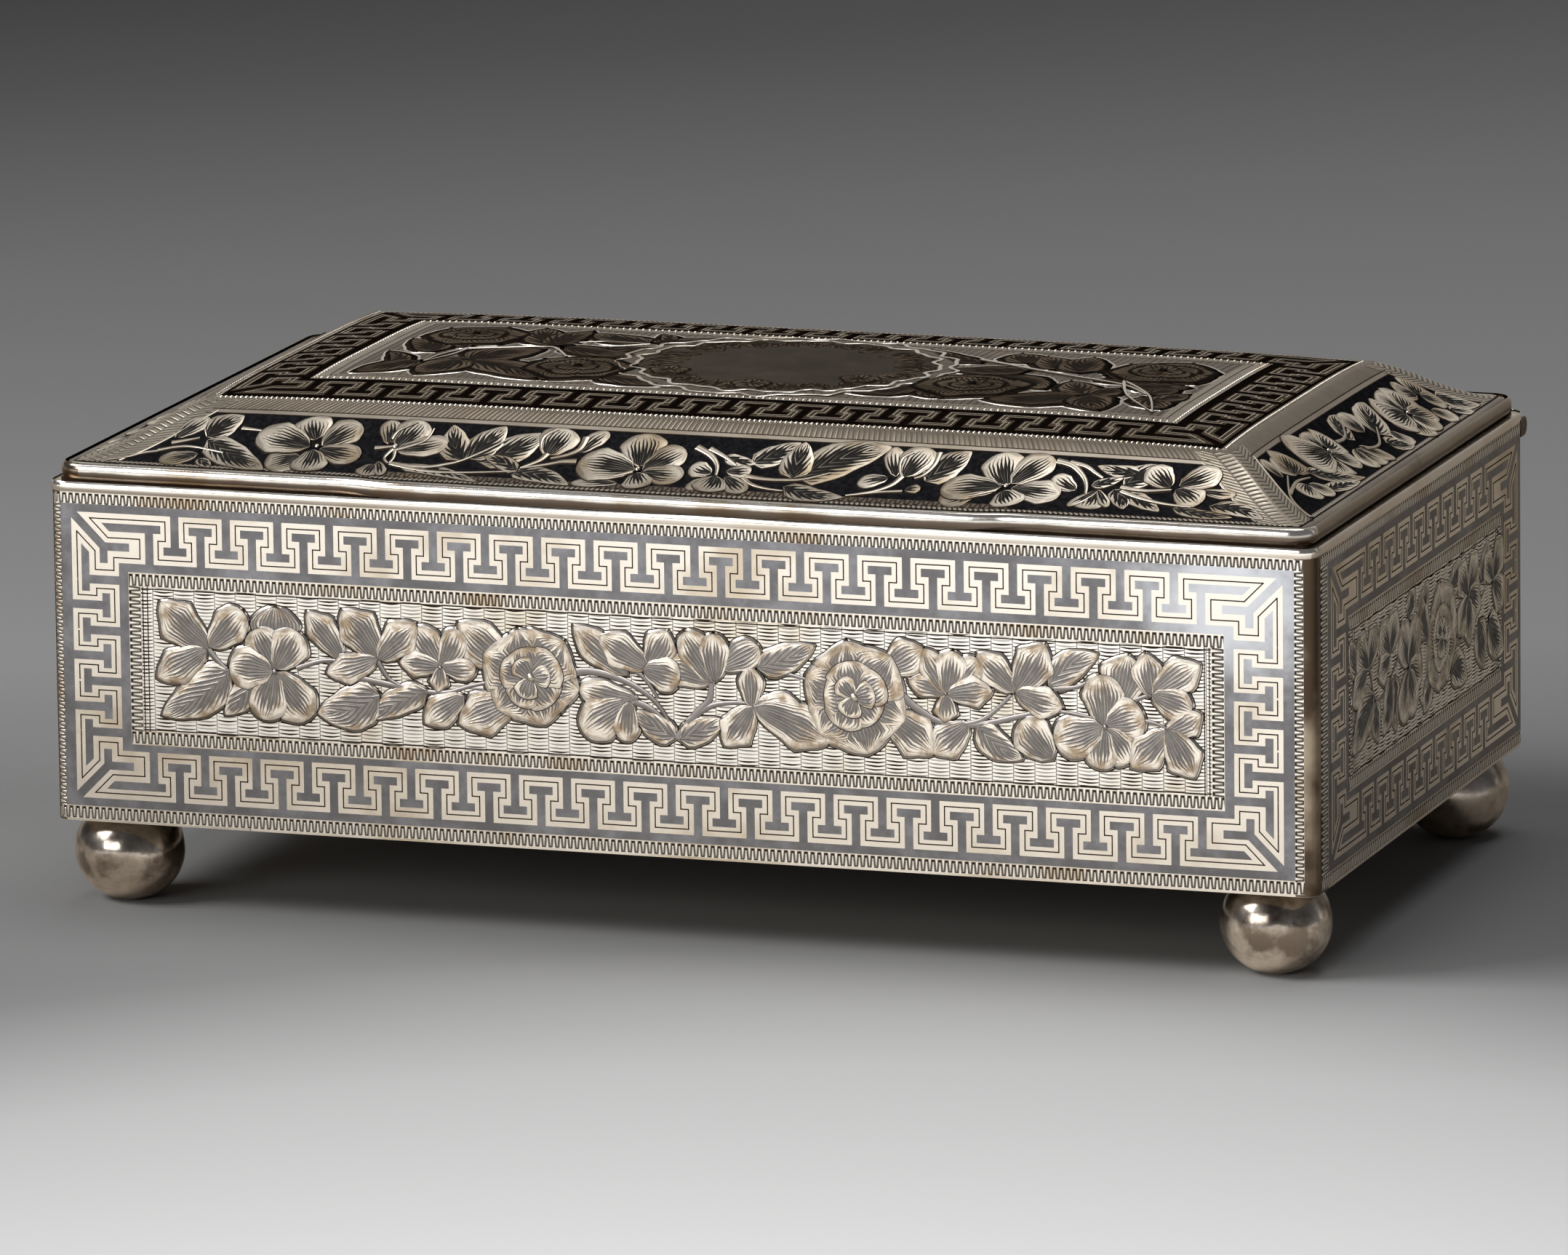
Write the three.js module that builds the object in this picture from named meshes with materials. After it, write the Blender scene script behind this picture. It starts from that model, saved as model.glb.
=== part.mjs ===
// A rectangular silver casket on four ball feet, with an ogee lid on a full-length knuckled hinge.
// Millimetres. +Z is up, +X is to the right and -Y is to the front.
// The origin is on the ground, in the middle of the whole outline seen from above.

import * as THREE from 'three';

// Case: four walls of sheet silver, mitred at rounded corners, round a base plate
const caseLength = 150;
const caseDepth = 84.5;
const wallHeight = 39.2;
const wallSheet = 1.0;
const caseCornerRadius = 1.8;
const baseSheet = 1.0;

// Feet: hollow squashed balls, worn flat below and open where they are soldered to the base
const footRadius = 6.5;
const footHalfHeight = 6.0;
const footCentreDrop = 4.3;
const footWear = 0.2;
const footSheet = 0.8;

// Gilt rim inside the walls, which the lid comes down on
const rimSheet = 0.6;
const rimDepth = 8.0;
const rimRise = 0.5;

// Lid: a slightly domed top panel, four ogee skirts and a rounded lip all round
const lidSheet = 1.0;
const lidClearance = 0.3;
const lipSetback = 1.0;
const lipWidth = 1.2;
const lipHeight = 1.3;
const lipCornerRadius = 2.5;
const creaseInset = 14.0;
const creaseCornerRadius = 0.3;
const skirtRise = 5.6;
const flareReach = 4.3;
const flareRise = 0.8;
const crownReach = 3.5;
const crownFall = 1.0;
const domeRise = 1.6;
const domeFlatDepth = 12.5;
const creaseBow = 0.5;

// Thumb swell: the middle of the front lip stands forward between two S-shaped steps
const thumbLength = 74;
const thumbSwell = 1.0;
const thumbBlend = 6.0;

// Hinge: five knuckles on one pin behind the rear wall
const knuckleCount = 5;
const knuckleGap = 0.3;
const hingeEndInset = 0.3;
const barrelRadius = 1.1;
const barrelClearance = 0.3;
const axisDrop = 2.0;
const pinRadius = 0.5;
const pinClearance = 0.08;
const leafWidth = 0.8;
const leafSheet = 0.5;

// Fineness of the curves
const halfCornerSteps = 3;
const ogeeSteps = 12;
const beadSteps = 6;
const thumbSteps = 6;
const domeSteps = 5;
const bowPlaces = [-0.88, -0.66, -0.35, 0, 0.35, 0.66, 0.88];
const footSteps = 9;
const footInnerSteps = 4;
const footSides = 28;
const barrelSteps = 14;

// Levels and half sizes that follow from the above
const halfLength = caseLength / 2;
const halfDepth = caseDepth / 2;
const footRise = Math.sqrt(1 - (footWear / footHalfHeight - 1) ** 2);
const baseLevel = footCentreDrop + footHalfHeight - footWear;
const wallTop = baseLevel + wallHeight;
const rimTop = wallTop + rimRise;
const lipBottom = rimTop + lidClearance;
const lipTop = lipBottom + lipHeight;
const creaseLevel = lipTop + skirtRise;
const lipInset = lipSetback + lipWidth;
const domeReach = halfDepth - creaseInset - domeFlatDepth / 2;
const leastRadius = 0.2;
const hingeAxisY = halfDepth + barrelClearance + barrelRadius;
const hingeAxisZ = wallTop - axisDrop;
const hingeProjection = hingeAxisY + barrelRadius - halfDepth;

const silver = { color: 0xc9c3ba, roughness: 0.32, metalness: 1.0 };
const polishedSilver = { color: 0xe6e1da, roughness: 0.16, metalness: 1.0 };
const nielloSilver = { color: 0x77777c, roughness: 0.38, metalness: 0.9 };
const darkNiello = { color: 0x3a393c, roughness: 0.35, metalness: 0.8 };
const giltSilver = { color: 0xb08a4e, roughness: 0.3, metalness: 1.0 };

// The four sides, each as a quarter turn of the front one: along the side, then outward from the middle
const sides = [
  { name: 'front', halfAlong: halfLength, halfAcross: halfDepth, place: (along, out) => [along, -out] },
  { name: 'right', halfAlong: halfDepth, halfAcross: halfLength, place: (along, out) => [out, along] },
  { name: 'back', halfAlong: halfLength, halfAcross: halfDepth, place: (along, out) => [-along, out] },
  { name: 'left', halfAlong: halfDepth, halfAcross: halfLength, place: (along, out) => [-out, -along] },
];

function addPiece(group, name, geometry, finish) {
  const mesh = new THREE.Mesh(geometry, new THREE.MeshStandardMaterial(finish));
  mesh.name = name;
  group.add(mesh);
  return mesh;
}

// Corner radius of the case at a distance inside its outer face
function caseRadius(inset) {
  return Math.max(caseCornerRadius - inset, leastRadius);
}

// Corner radius of the lid, which sharpens from the lip up to the crease
function lidRadius(inset) {
  const share = (inset - lipSetback) / (creaseInset - lipSetback);
  return THREE.MathUtils.lerp(lipCornerRadius, creaseCornerRadius, share);
}

// How far the front lip stands forward at a place along it
function thumbSwellAt(along) {
  const halfThumb = thumbLength / 2;
  const beyond = THREE.MathUtils.smoothstep(Math.abs(along), halfThumb - thumbBlend / 2, halfThumb + thumbBlend / 2);
  return thumbSwell * (1 - beyond);
}

// Share of the thumb swell that the skirt takes at a distance inside the case's outer face
function swellShare(inset) {
  if (inset <= lipInset) {
    return 1;
  }
  return (1 - (inset - lipInset) / (creaseInset - lipInset)) ** 3;
}

// Share of the crease's rise that the skirt takes at a distance inside the case's outer face
function riseShare(inset) {
  if (inset <= lipInset) {
    return 0;
  }
  return ((inset - lipInset) / (creaseInset - lipInset)) ** 2;
}

// How far the lid's top stands above the crease's corners at a place seen from above.
// The creases bow up a little between their corners, and the middle is raised and flat.
function topRise(x, y) {
  const endX = halfLength - creaseInset;
  const endY = halfDepth - creaseInset;
  const doneX = 1 - (1 - Math.min((endX - Math.abs(x)) / domeReach, 1)) ** 2;
  const doneY = 1 - (1 - Math.min((endY - Math.abs(y)) / domeReach, 1)) ** 2;
  const bowX = 1 - (x / endX) ** 4;
  const bowY = 1 - (y / endY) ** 4;
  return domeRise * doneX * doneY + creaseBow * (bowX * (1 - doneY) + bowY * (1 - doneX));
}

// Stations along one side: half a corner, any stations between, and half a corner
function sideStations(between) {
  const stations = [];
  for (let step = halfCornerSteps; step >= 0; step -= 1) {
    stations.push({ end: -1, turn: (Math.PI / 4) * (step / halfCornerSteps) });
  }
  for (const along of between) {
    stations.push({ end: 0, along });
  }
  for (let step = 0; step <= halfCornerSteps; step += 1) {
    stations.push({ end: 1, turn: (Math.PI / 4) * (step / halfCornerSteps) });
  }
  return stations;
}

// A point of a side seen from above: inset from the case's outer face, with a rounded corner
function planPoint(side, station, inset, radius, swell = 0) {
  if (station.end === 0) {
    return side.place(station.along, side.halfAcross - inset + swell);
  }
  const along = side.halfAlong - inset - radius + radius * Math.sin(station.turn);
  const out = side.halfAcross - inset - radius + radius * Math.cos(station.turn);
  return side.place(station.end * along, out + swell);
}

// A closed solid through sections that each hold the outline's points in the same order
function loft(outline, sections) {
  if (THREE.ShapeUtils.isClockWise(outline)) {
    return loft([...outline].reverse(), sections.map((section) => [...section].reverse()));
  }
  const count = outline.length;
  const index = [];
  for (let i = 0; i + 1 < sections.length; i += 1) {
    for (let j = 0; j < count; j += 1) {
      const a = i * count + j;
      const b = i * count + ((j + 1) % count);
      index.push(a, b, b + count, a, b + count, a + count);
    }
  }
  const last = (sections.length - 1) * count;
  for (const face of THREE.ShapeUtils.triangulateShape(outline, [])) {
    const isForward = THREE.ShapeUtils.area(face.map((corner) => outline[corner])) > 0;
    const [a, b, c] = isForward ? face : [...face].reverse();
    index.push(c, b, a);
    index.push(last + a, last + b, last + c);
  }
  const geometry = new THREE.BufferGeometry();
  geometry.setAttribute('position', new THREE.Float32BufferAttribute(sections.flat(2), 3));
  geometry.setIndex(index);
  turnOutward(geometry);
  geometry.computeVertexNormals();
  return geometry;
}

// Reverses the faces of a closed solid whose volume comes out negative
function turnOutward(geometry) {
  const corners = [new THREE.Vector3(), new THREE.Vector3(), new THREE.Vector3()];
  const index = geometry.index;
  const position = geometry.attributes.position;
  let volume = 0;
  for (let i = 0; i < index.count; i += 3) {
    corners.forEach((corner, k) => corner.fromBufferAttribute(position, index.getX(i + k)));
    volume += corners[0].dot(corners[1].clone().cross(corners[2]));
  }
  if (volume < 0) {
    geometry.setIndex(Array.from(index.array).reverse());
  }
}

// A mitred upright strip that follows the case's corners, between two distances inside its outer face
function uprightStrip(side, outerInset, innerInset, bottom, top) {
  const outline = [
    new THREE.Vector2(outerInset, bottom),
    new THREE.Vector2(innerInset, bottom),
    new THREE.Vector2(innerInset, top),
    new THREE.Vector2(outerInset, top),
  ];
  const sections = sideStations([]).map((station) => outline.map((point) => (
    [...planPoint(side, station, point.x, caseRadius(point.x)), point.y]
  )));
  return loft(outline, sections);
}

// The whole outline at one distance inside the case's outer face, as a flat shape
function ringShape(inset, radius) {
  const points = sides.flatMap((side) => sideStations([]).slice(1)
    .map((station) => new THREE.Vector2(...planPoint(side, station, inset, radius))));
  return new THREE.Shape(points);
}

function flatPlate(shape, bottom, thickness) {
  const geometry = new THREE.ExtrudeGeometry(shape, { depth: thickness, bevelEnabled: false });
  return geometry.translate(0, 0, bottom);
}

// A ball foot, from the worn flat below to its open rim against the base
function ballFoot() {
  const rimAngle = Math.asin(footCentreDrop / footHalfHeight);
  const flatAngle = -Math.asin(1 - footWear / footHalfHeight);
  const innerRadius = footRadius - footSheet;
  const innerHalfHeight = footHalfHeight - footSheet;
  const innerRimAngle = Math.asin(footCentreDrop / innerHalfHeight);
  const centre = footHalfHeight - footWear;
  const profile = [new THREE.Vector2(0, 0), new THREE.Vector2(footRadius * footRise, 0)];
  for (let step = 1; step <= footSteps; step += 1) {
    const angle = THREE.MathUtils.lerp(flatAngle, rimAngle, step / footSteps);
    profile.push(new THREE.Vector2(footRadius * Math.cos(angle), centre + footHalfHeight * Math.sin(angle)));
  }
  for (let step = footInnerSteps; step > 0; step -= 1) {
    const angle = THREE.MathUtils.lerp(-Math.PI / 2, innerRimAngle, step / footInnerSteps);
    profile.push(new THREE.Vector2(innerRadius * Math.cos(angle), centre + innerHalfHeight * Math.sin(angle)));
  }
  profile.push(new THREE.Vector2(0, centre - innerHalfHeight));
  return new THREE.LatheGeometry(profile, footSides).rotateX(Math.PI / 2);
}

// The ogee of the lid as insets and heights: a hollow flare above the lip and a round crown at the crease
function ogeePoints() {
  const curve = new THREE.CubicBezierCurve(
    new THREE.Vector2(lipInset, lipTop),
    new THREE.Vector2(lipInset + flareReach, lipTop + flareRise),
    new THREE.Vector2(creaseInset - crownReach, creaseLevel - crownFall),
    new THREE.Vector2(creaseInset, creaseLevel),
  );
  return curve.getPoints(ogeeSteps);
}

// Stations of the front that follow the two steps of the thumb swell
function thumbStations() {
  const stations = [];
  for (const end of [-1, 1]) {
    for (let step = 0; step <= thumbSteps; step += 1) {
      const offset = thumbBlend * (step / thumbSteps - 0.5);
      stations.push(end * (thumbLength / 2) + offset);
    }
  }
  return stations;
}

// Stations of one side of the lid: those that follow the bowed crease, and the front's own
function lidStations(side) {
  const creaseHalf = side.halfAlong - creaseInset;
  const stations = bowPlaces.map((place) => place * creaseHalf);
  if (side.name === 'front') {
    stations.push(...thumbStations());
    stations.sort((a, b) => a - b);
  }
  return sideStations(stations);
}

// A piece of the lid along one side, from its outline as distances inward and heights
function lidStrip(side, outline) {
  const isFront = side.name === 'front';
  const sections = lidStations(side).map((station) => {
    const rise = topRise(...planPoint(side, station, creaseInset, creaseCornerRadius));
    return outline.map((point) => {
      const swell = isFront && station.end === 0 ? thumbSwellAt(station.along) * swellShare(point.x) : 0;
      const level = point.y + rise * riseShare(point.x);
      return [...planPoint(side, station, point.x, lidRadius(point.x), swell), level];
    });
  });
  return loft(outline, sections);
}

// The top panel's points at one distance inside the creases, all the way round
function panelRing(distance, drop) {
  const ring = [];
  for (const side of sides) {
    const creaseHalf = side.halfAlong - creaseInset;
    const shrink = (creaseHalf - distance) / creaseHalf;
    for (const station of lidStations(side).slice(1)) {
      const moved = station.end === 0 ? { end: 0, along: station.along * shrink } : station;
      const [x, y] = planPoint(side, moved, creaseInset + distance, creaseCornerRadius);
      ring.push([x, y, creaseLevel + topRise(x, y) - drop]);
    }
  }
  return ring;
}

// The top panel: raised in rings from the creases to its flat middle, on both faces
function lidTopPanel() {
  const upper = [];
  const lower = [];
  for (let step = 0; step <= domeSteps; step += 1) {
    const distance = domeReach * (step / domeSteps) ** 1.3;
    upper.push(panelRing(distance, 0));
    lower.unshift(panelRing(distance, lidSheet));
  }
  const outline = upper[domeSteps].map(([x, y]) => new THREE.Vector2(x, y));
  return loft(outline, [...lower, ...upper]);
}

function lidSkirt(side) {
  const upper = ogeePoints();
  const lower = upper.map((point) => new THREE.Vector2(point.x, point.y - lidSheet)).reverse();
  return lidStrip(side, [...upper, ...lower]);
}

// The lip: a half-round bead with a flat back against the skirt
function lidLip(side) {
  const beadRadius = lipHeight / 2;
  const outline = [new THREE.Vector2(lipInset, lipBottom), new THREE.Vector2(lipInset, lipTop)];
  for (let step = 0; step <= beadSteps; step += 1) {
    const angle = Math.PI / 2 + Math.PI * (step / beadSteps);
    outline.push(new THREE.Vector2(
      lipSetback + beadRadius + beadRadius * Math.cos(angle),
      lipBottom + beadRadius + beadRadius * Math.sin(angle),
    ));
  }
  return lidStrip(side, outline);
}

// A length of hinge along X, from its outline as distances behind and above the hinge's axis
function hingeLength(shape, startX, length) {
  const geometry = new THREE.ExtrudeGeometry(shape, {
    depth: length, bevelEnabled: false, curveSegments: barrelSteps,
  });
  const behind = new THREE.Vector3(0, 1, 0);
  const above = new THREE.Vector3(0, 0, 1);
  const along = new THREE.Vector3(1, 0, 0);
  geometry.applyMatrix4(new THREE.Matrix4().makeBasis(behind, above, along));
  return geometry.translate(startX, hingeAxisY, hingeAxisZ);
}

function boreHole() {
  return new THREE.Path().absarc(0, 0, pinRadius + pinClearance, 0, 2 * Math.PI, true);
}

// A knuckle soldered flat to the rear wall
function caseKnuckleShape() {
  const wallFace = halfDepth - hingeAxisY;
  const shape = new THREE.Shape();
  shape.moveTo(wallFace, -barrelRadius);
  shape.lineTo(0, -barrelRadius);
  shape.absarc(0, 0, barrelRadius, -Math.PI / 2, Math.PI / 2, false);
  shape.lineTo(wallFace, barrelRadius);
  shape.closePath();
  shape.holes.push(boreHole());
  return shape;
}

// A knuckle whose leaf rises behind the wall and turns in under the lid's rear lip
function lidKnuckleShape() {
  const halfLeaf = leafWidth / 2;
  const leafAngle = Math.asin(halfLeaf / barrelRadius);
  const leafTop = lipBottom - hingeAxisZ;
  const leafBottom = leafTop - leafSheet;
  const leafEnd = halfDepth - lipInset - hingeAxisY;
  const shape = new THREE.Shape();
  shape.moveTo(leafEnd, leafTop);
  shape.lineTo(leafEnd, leafBottom);
  shape.lineTo(-halfLeaf, leafBottom);
  shape.absarc(0, 0, barrelRadius, Math.PI / 2 + leafAngle, 2.5 * Math.PI - leafAngle, false);
  shape.lineTo(halfLeaf, leafTop);
  shape.closePath();
  shape.holes.push(boreHole());
  return shape;
}

function pinShape() {
  return new THREE.Shape().absarc(0, 0, pinRadius, 0, 2 * Math.PI, false);
}

function buildCase() {
  const group = new THREE.Group();
  const baseShape = ringShape(wallSheet, caseRadius(wallSheet));
  addPiece(group, 'base_plate', flatPlate(baseShape, baseLevel, baseSheet), silver);
  for (const side of sides) {
    const wall = uprightStrip(side, 0, wallSheet, baseLevel, wallTop);
    addPiece(group, `${side.name}_wall`, wall, nielloSilver);
    const rimInner = wallSheet + rimSheet;
    const rimUpper = side.name === 'back' ? wallTop : rimTop;
    const rim = uprightStrip(side, wallSheet, rimInner, wallTop - rimDepth, rimUpper);
    addPiece(group, `${side.name}_inner_rim`, rim, giltSilver);
  }
  for (const [endName, endSign] of [['left', -1], ['right', 1]]) {
    for (const [faceName, faceSign] of [['front', -1], ['back', 1]]) {
      const foot = addPiece(group, `${faceName}_${endName}_foot`, ballFoot(), silver);
      foot.position.set(endSign * (halfLength - footRadius), faceSign * (halfDepth - footRadius), 0);
    }
  }
  return group;
}

function buildLid() {
  const group = new THREE.Group();
  addPiece(group, 'lid_top_panel', lidTopPanel(), darkNiello);
  for (const side of sides) {
    addPiece(group, `lid_${side.name}_skirt`, lidSkirt(side), darkNiello);
    addPiece(group, `lid_${side.name}_lip`, lidLip(side), polishedSilver);
  }
  return group;
}

// Knuckles of the case and of the lid take turns along the pin, and the case has both end ones
function buildHinge() {
  const group = new THREE.Group();
  const hingeLengthAll = caseLength - 2 * hingeEndInset;
  const knuckleLength = (hingeLengthAll - (knuckleCount - 1) * knuckleGap) / knuckleCount;
  for (let i = 0; i < knuckleCount; i += 1) {
    const startX = -hingeLengthAll / 2 + i * (knuckleLength + knuckleGap);
    const isCase = i % 2 === 0;
    const shape = isCase ? caseKnuckleShape() : lidKnuckleShape();
    const owner = isCase ? 'case' : 'lid';
    const number = Math.floor(i / 2) + 1;
    addPiece(group, `${owner}_hinge_knuckle_${number}`, hingeLength(shape, startX, knuckleLength), silver);
  }
  addPiece(group, 'hinge_pin', hingeLength(pinShape(), -hingeLengthAll / 2, hingeLengthAll), silver);
  return group;
}

const casket = new THREE.Group();
casket.add(buildCase(), buildLid(), buildHinge());
casket.position.y = -hingeProjection / 2;

export default casket;
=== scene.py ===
# Looks of a silver casket with niello flowers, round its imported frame.
# Ornament is drawn in millimetres as thin sheets of raised and inlaid shapes, which are then laid
# on the walls and on the domed lid. Lengths in the drawings are millimetres, objects are in metres.

import bisect
import math
import random

import bmesh
import bpy
from mathutils import Matrix, Vector


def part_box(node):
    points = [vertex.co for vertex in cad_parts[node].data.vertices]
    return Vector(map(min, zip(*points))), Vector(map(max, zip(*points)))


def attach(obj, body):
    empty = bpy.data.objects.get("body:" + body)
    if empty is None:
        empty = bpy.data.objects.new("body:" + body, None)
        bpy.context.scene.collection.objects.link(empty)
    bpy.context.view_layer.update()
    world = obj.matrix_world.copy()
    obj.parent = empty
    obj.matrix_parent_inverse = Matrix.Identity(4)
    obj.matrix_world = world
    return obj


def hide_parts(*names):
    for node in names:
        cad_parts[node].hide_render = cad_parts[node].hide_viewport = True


# Greek key: depth of the figure and the parts of its T shapes
KEY_DEPTH = 5.7
KEY_STEM = 1.0
KEY_BAR_LENGTH = 2.8
KEY_BAR_FROM = 3.6
KEY_BAR_TO = 4.55
KEY_HALF_PITCH = 3.14
# Thin line between the T shapes: its three depths, and its reach beside the stem and under the bar
KEY_LINE_DEPTHS = (0.65, 2.93, 5.1)
KEY_LINE_REACH = (1.15, 2.05)
# Corner of the key: width of the diagonal, depths of its bar, and the thin line's two turns and level
KEY_DIAGONAL = 0.7
KEY_CORNER_BAR = (3.4, 4.35)
KEY_CORNER_LINE = (2.25, 4.43)
KEY_CORNER_LEVEL = 2.83
# First T from the corner and number of half pitches, along the walls and up their ends
WALL_ROW_KEY = (9.45, 40)
WALL_COLUMN_KEY = (7.75, 6)
END_ROW_STEPS = 18
# The lid's key: its depth, and the half length it fills and its number of half pitches, by direction
TOP_KEY_DEPTH = 6.1
TOP_KEY_ROW = (50.24, 32)
TOP_KEY_COLUMN = (17.4, 12)

# Basket weave: width of a column and height of a cut
WEAVE_COLUMN = 2.5
WEAVE_CUT = 0.42

# Borders of the walls, measured down from the top edge or in from the side
WALL_OUTER_TOP = (1.1, 2.3)
WALL_INNER_TOP = (10.1, 11.5)
WALL_NIELLO_TOP = (2.3, 9.95)
WALL_KEY_TOP = 3.25
WALL_OUTER_FOOT = (37.5, 38.9)
WALL_INNER_FOOT = (28.4, 29.8)
WALL_NIELLO_FOOT = (29.95, 37.4)
WALL_KEY_FOOT = 36.45
WALL_OUTER_SIDE = (0.42, 1.45)
WALL_INNER_SIDE = (9.6, 11.0)
WALL_NIELLO_SIDE = (1.45, 9.55)
WALL_KEY_SIDE = 2.75
# Further margin at the left and right end of each wall's ornament
WALL_MARGINS = {"front": (0.0, 0.85), "right": (3.6, 0.0), "back": (0.4, 0.4), "left": (0.4, 0.4)}
CASE_CORNER = 1.8

# Lid profile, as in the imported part
CREASE_BOW = 0.5
DOME_FLAT_DEPTH = 12.5
LIP_CORNER = 2.5
CREASE_CORNER = 0.3
FLARE = (4.3, 0.8)
CROWN = (3.5, 1.0)
THUMB_LENGTH = 74.0
THUMB_SWELL = 1.0
THUMB_BLEND = 6.0

# Borders of the lid's top, measured in from the creases: front and back, then the two ends
BAND_EDGE = (1.25, 0.6)
BAND_DEPTH = 8.45
DOTS_DEPTH = 1.7
HIP_REACH = 4.4

# Oval cartouche on the lid
OVAL_CENTRE = (-0.6, 0.2)
OVAL_HALF = (18.6, 16.4)

FOOT_HALF_HEIGHT = 6.0
FOOT_WEAR = 0.2

# Camera of the photograph: angles in degrees, place in millimetres, focal length in its pixels
CAMERA_AZIMUTH = 18.95
CAMERA_ELEVATION = 11.79
CAMERA_ROLL = -0.72
CAMERA_PLACE = (511.5, -1494.85, 357.6)
FOCAL_PIXELS = 19288
PHOTO_WIDTH = 2156
SENSOR_WIDTH = 36.0

# Grey paper by distance behind the casket's middle, in millimetres: a few tones
# These tones paint light and shade: light falling off far behind, the casket's shadow round it, and a pool of
# light in front
PAINTED_FLOOR_LIGHT_AND_SHADOW = [
    (-600, "f4f4f4"),
    (-250, "e0e0e0"),
    (-100, "b0b0b0"),
    (-40, "787878"),
    (40, "6c6c6c"),
    (120, "7e7e7e"),
    (400, "626262"),
    (550, "484848"),
    (700, "2c2c2c"),
    (1500, "1d1d1d"),
]

# The same paper as the silver mirrors it, brighter still in front: a painted pool of light for the
# reflections
PAINTED_MIRRORED_FLOOR_LIGHT = [
    (-600, "ffffff"),
    (-210, "ffffff"),
    (-150, "ebe7e1"),
    (-110, "d2cdc6"),
    (-60, "b6b0a8"),
    (-20, "89827a"),
    (60, "7b7369"),
    (210, "80776b"),
    (420, "8a837b"),
    (800, "9c9792"),
    (1500, "a4a09a"),
]

SEED = 7

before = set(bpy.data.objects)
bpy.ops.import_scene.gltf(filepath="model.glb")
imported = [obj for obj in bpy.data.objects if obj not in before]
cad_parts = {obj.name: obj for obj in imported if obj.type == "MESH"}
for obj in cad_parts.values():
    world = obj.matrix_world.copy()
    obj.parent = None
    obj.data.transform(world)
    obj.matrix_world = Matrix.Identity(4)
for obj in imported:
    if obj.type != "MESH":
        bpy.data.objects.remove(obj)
random.seed(SEED)


def box_mm(node):
    low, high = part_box(node)
    return [1000 * value for value in low], [1000 * value for value in high]


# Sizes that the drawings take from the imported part
HALF_LENGTH = box_mm("right_wall")[1][0]
FRONT_FACE = box_mm("front_wall")[0][1]
BACK_FACE = box_mm("back_wall")[1][1]
HALF_DEPTH = (BACK_FACE - FRONT_FACE) / 2
CENTRE_Y = (BACK_FACE + FRONT_FACE) / 2
WALL_TOP = box_mm("front_wall")[1][2]
WALL_HEIGHT = WALL_TOP - box_mm("front_wall")[0][2]
LIP_TOP = box_mm("lid_right_lip")[1][2]
LIP_INSET = HALF_LENGTH - box_mm("lid_right_skirt")[1][0]
LIP_SETBACK = HALF_LENGTH - box_mm("lid_right_lip")[1][0]
CREASE_X = box_mm("lid_top_panel")[1][0]
CREASE_Y = (box_mm("lid_top_panel")[1][1] - box_mm("lid_top_panel")[0][1]) / 2
CREASE_INSET = HALF_LENGTH - CREASE_X
CREASE_LEVEL = box_mm("lid_right_skirt")[1][2] - CREASE_BOW
DOME_RISE = box_mm("lid_top_panel")[1][2] - CREASE_LEVEL
DOME_REACH = CREASE_Y - DOME_FLAT_DEPTH / 2

SIDES = {
    "front": (HALF_LENGTH, HALF_DEPTH, lambda along, out: (along, -out)),
    "right": (HALF_DEPTH, HALF_LENGTH, lambda along, out: (out, along)),
    "back": (HALF_LENGTH, HALF_DEPTH, lambda along, out: (-along, out)),
    "left": (HALF_DEPTH, HALF_LENGTH, lambda along, out: (-out, -along)),
}


# The lid's ogee as insets, levels and lengths down from the crease
def ogee_table(steps=240):
    corners = [
        (LIP_INSET, LIP_TOP),
        (LIP_INSET + FLARE[0], LIP_TOP + FLARE[1]),
        (CREASE_INSET - CROWN[0], CREASE_LEVEL - CROWN[1]),
        (CREASE_INSET, CREASE_LEVEL),
    ]
    rows = []
    length = 0.0
    for step in range(steps, -1, -1):
        t = step / steps
        weights = ((1 - t) ** 3, 3 * t * (1 - t) ** 2, 3 * t * t * (1 - t), t ** 3)
        inset = sum(w * c[0] for w, c in zip(weights, corners))
        level = sum(w * c[1] for w, c in zip(weights, corners))
        if rows:
            length += math.hypot(inset - rows[-1][1], level - rows[-1][2])
        rows.append((length, inset, level))
    return rows


OGEE = ogee_table()
OGEE_LENGTHS = [row[0] for row in OGEE]
OGEE_INSETS = [row[1] for row in OGEE]
OGEE_OUTWARD = [-row[1] for row in OGEE]
OGEE_LEVELS = [row[2] for row in OGEE]
SKIRT_LENGTH = OGEE_LENGTHS[-1]


def between(keys, values, key):
    place = min(max(bisect.bisect_left(keys, key), 1), len(keys) - 1)
    share = (key - keys[place - 1]) / (keys[place] - keys[place - 1])
    return values[place - 1] + min(max(share, 0), 1) * (values[place] - values[place - 1])


def skirt_inset(down):
    return between(OGEE_LENGTHS, OGEE_INSETS, down)


def thumb_swell(x):
    share = (abs(x) - THUMB_LENGTH / 2 + THUMB_BLEND / 2) / THUMB_BLEND
    share = min(max(share, 0), 1)
    return THUMB_SWELL * (1 - share * share * (3 - 2 * share))


def swell_share(inset):
    if inset <= LIP_INSET:
        return 1.0
    return max(0.0, 1 - (inset - LIP_INSET) / (CREASE_INSET - LIP_INSET)) ** 3


def top_rise(x, y):
    done_x = 1 - (1 - min(max((CREASE_X - abs(x)) / DOME_REACH, 0), 1)) ** 2
    done_y = 1 - (1 - min(max((CREASE_Y - abs(y)) / DOME_REACH, 0), 1)) ** 2
    bow_x = 1 - min(abs(x) / CREASE_X, 1) ** 4
    bow_y = 1 - min(abs(y) / CREASE_Y, 1) ** 4
    return DOME_RISE * done_x * done_y + CREASE_BOW * (bow_x * (1 - done_y) + bow_y * (1 - done_x))


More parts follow.
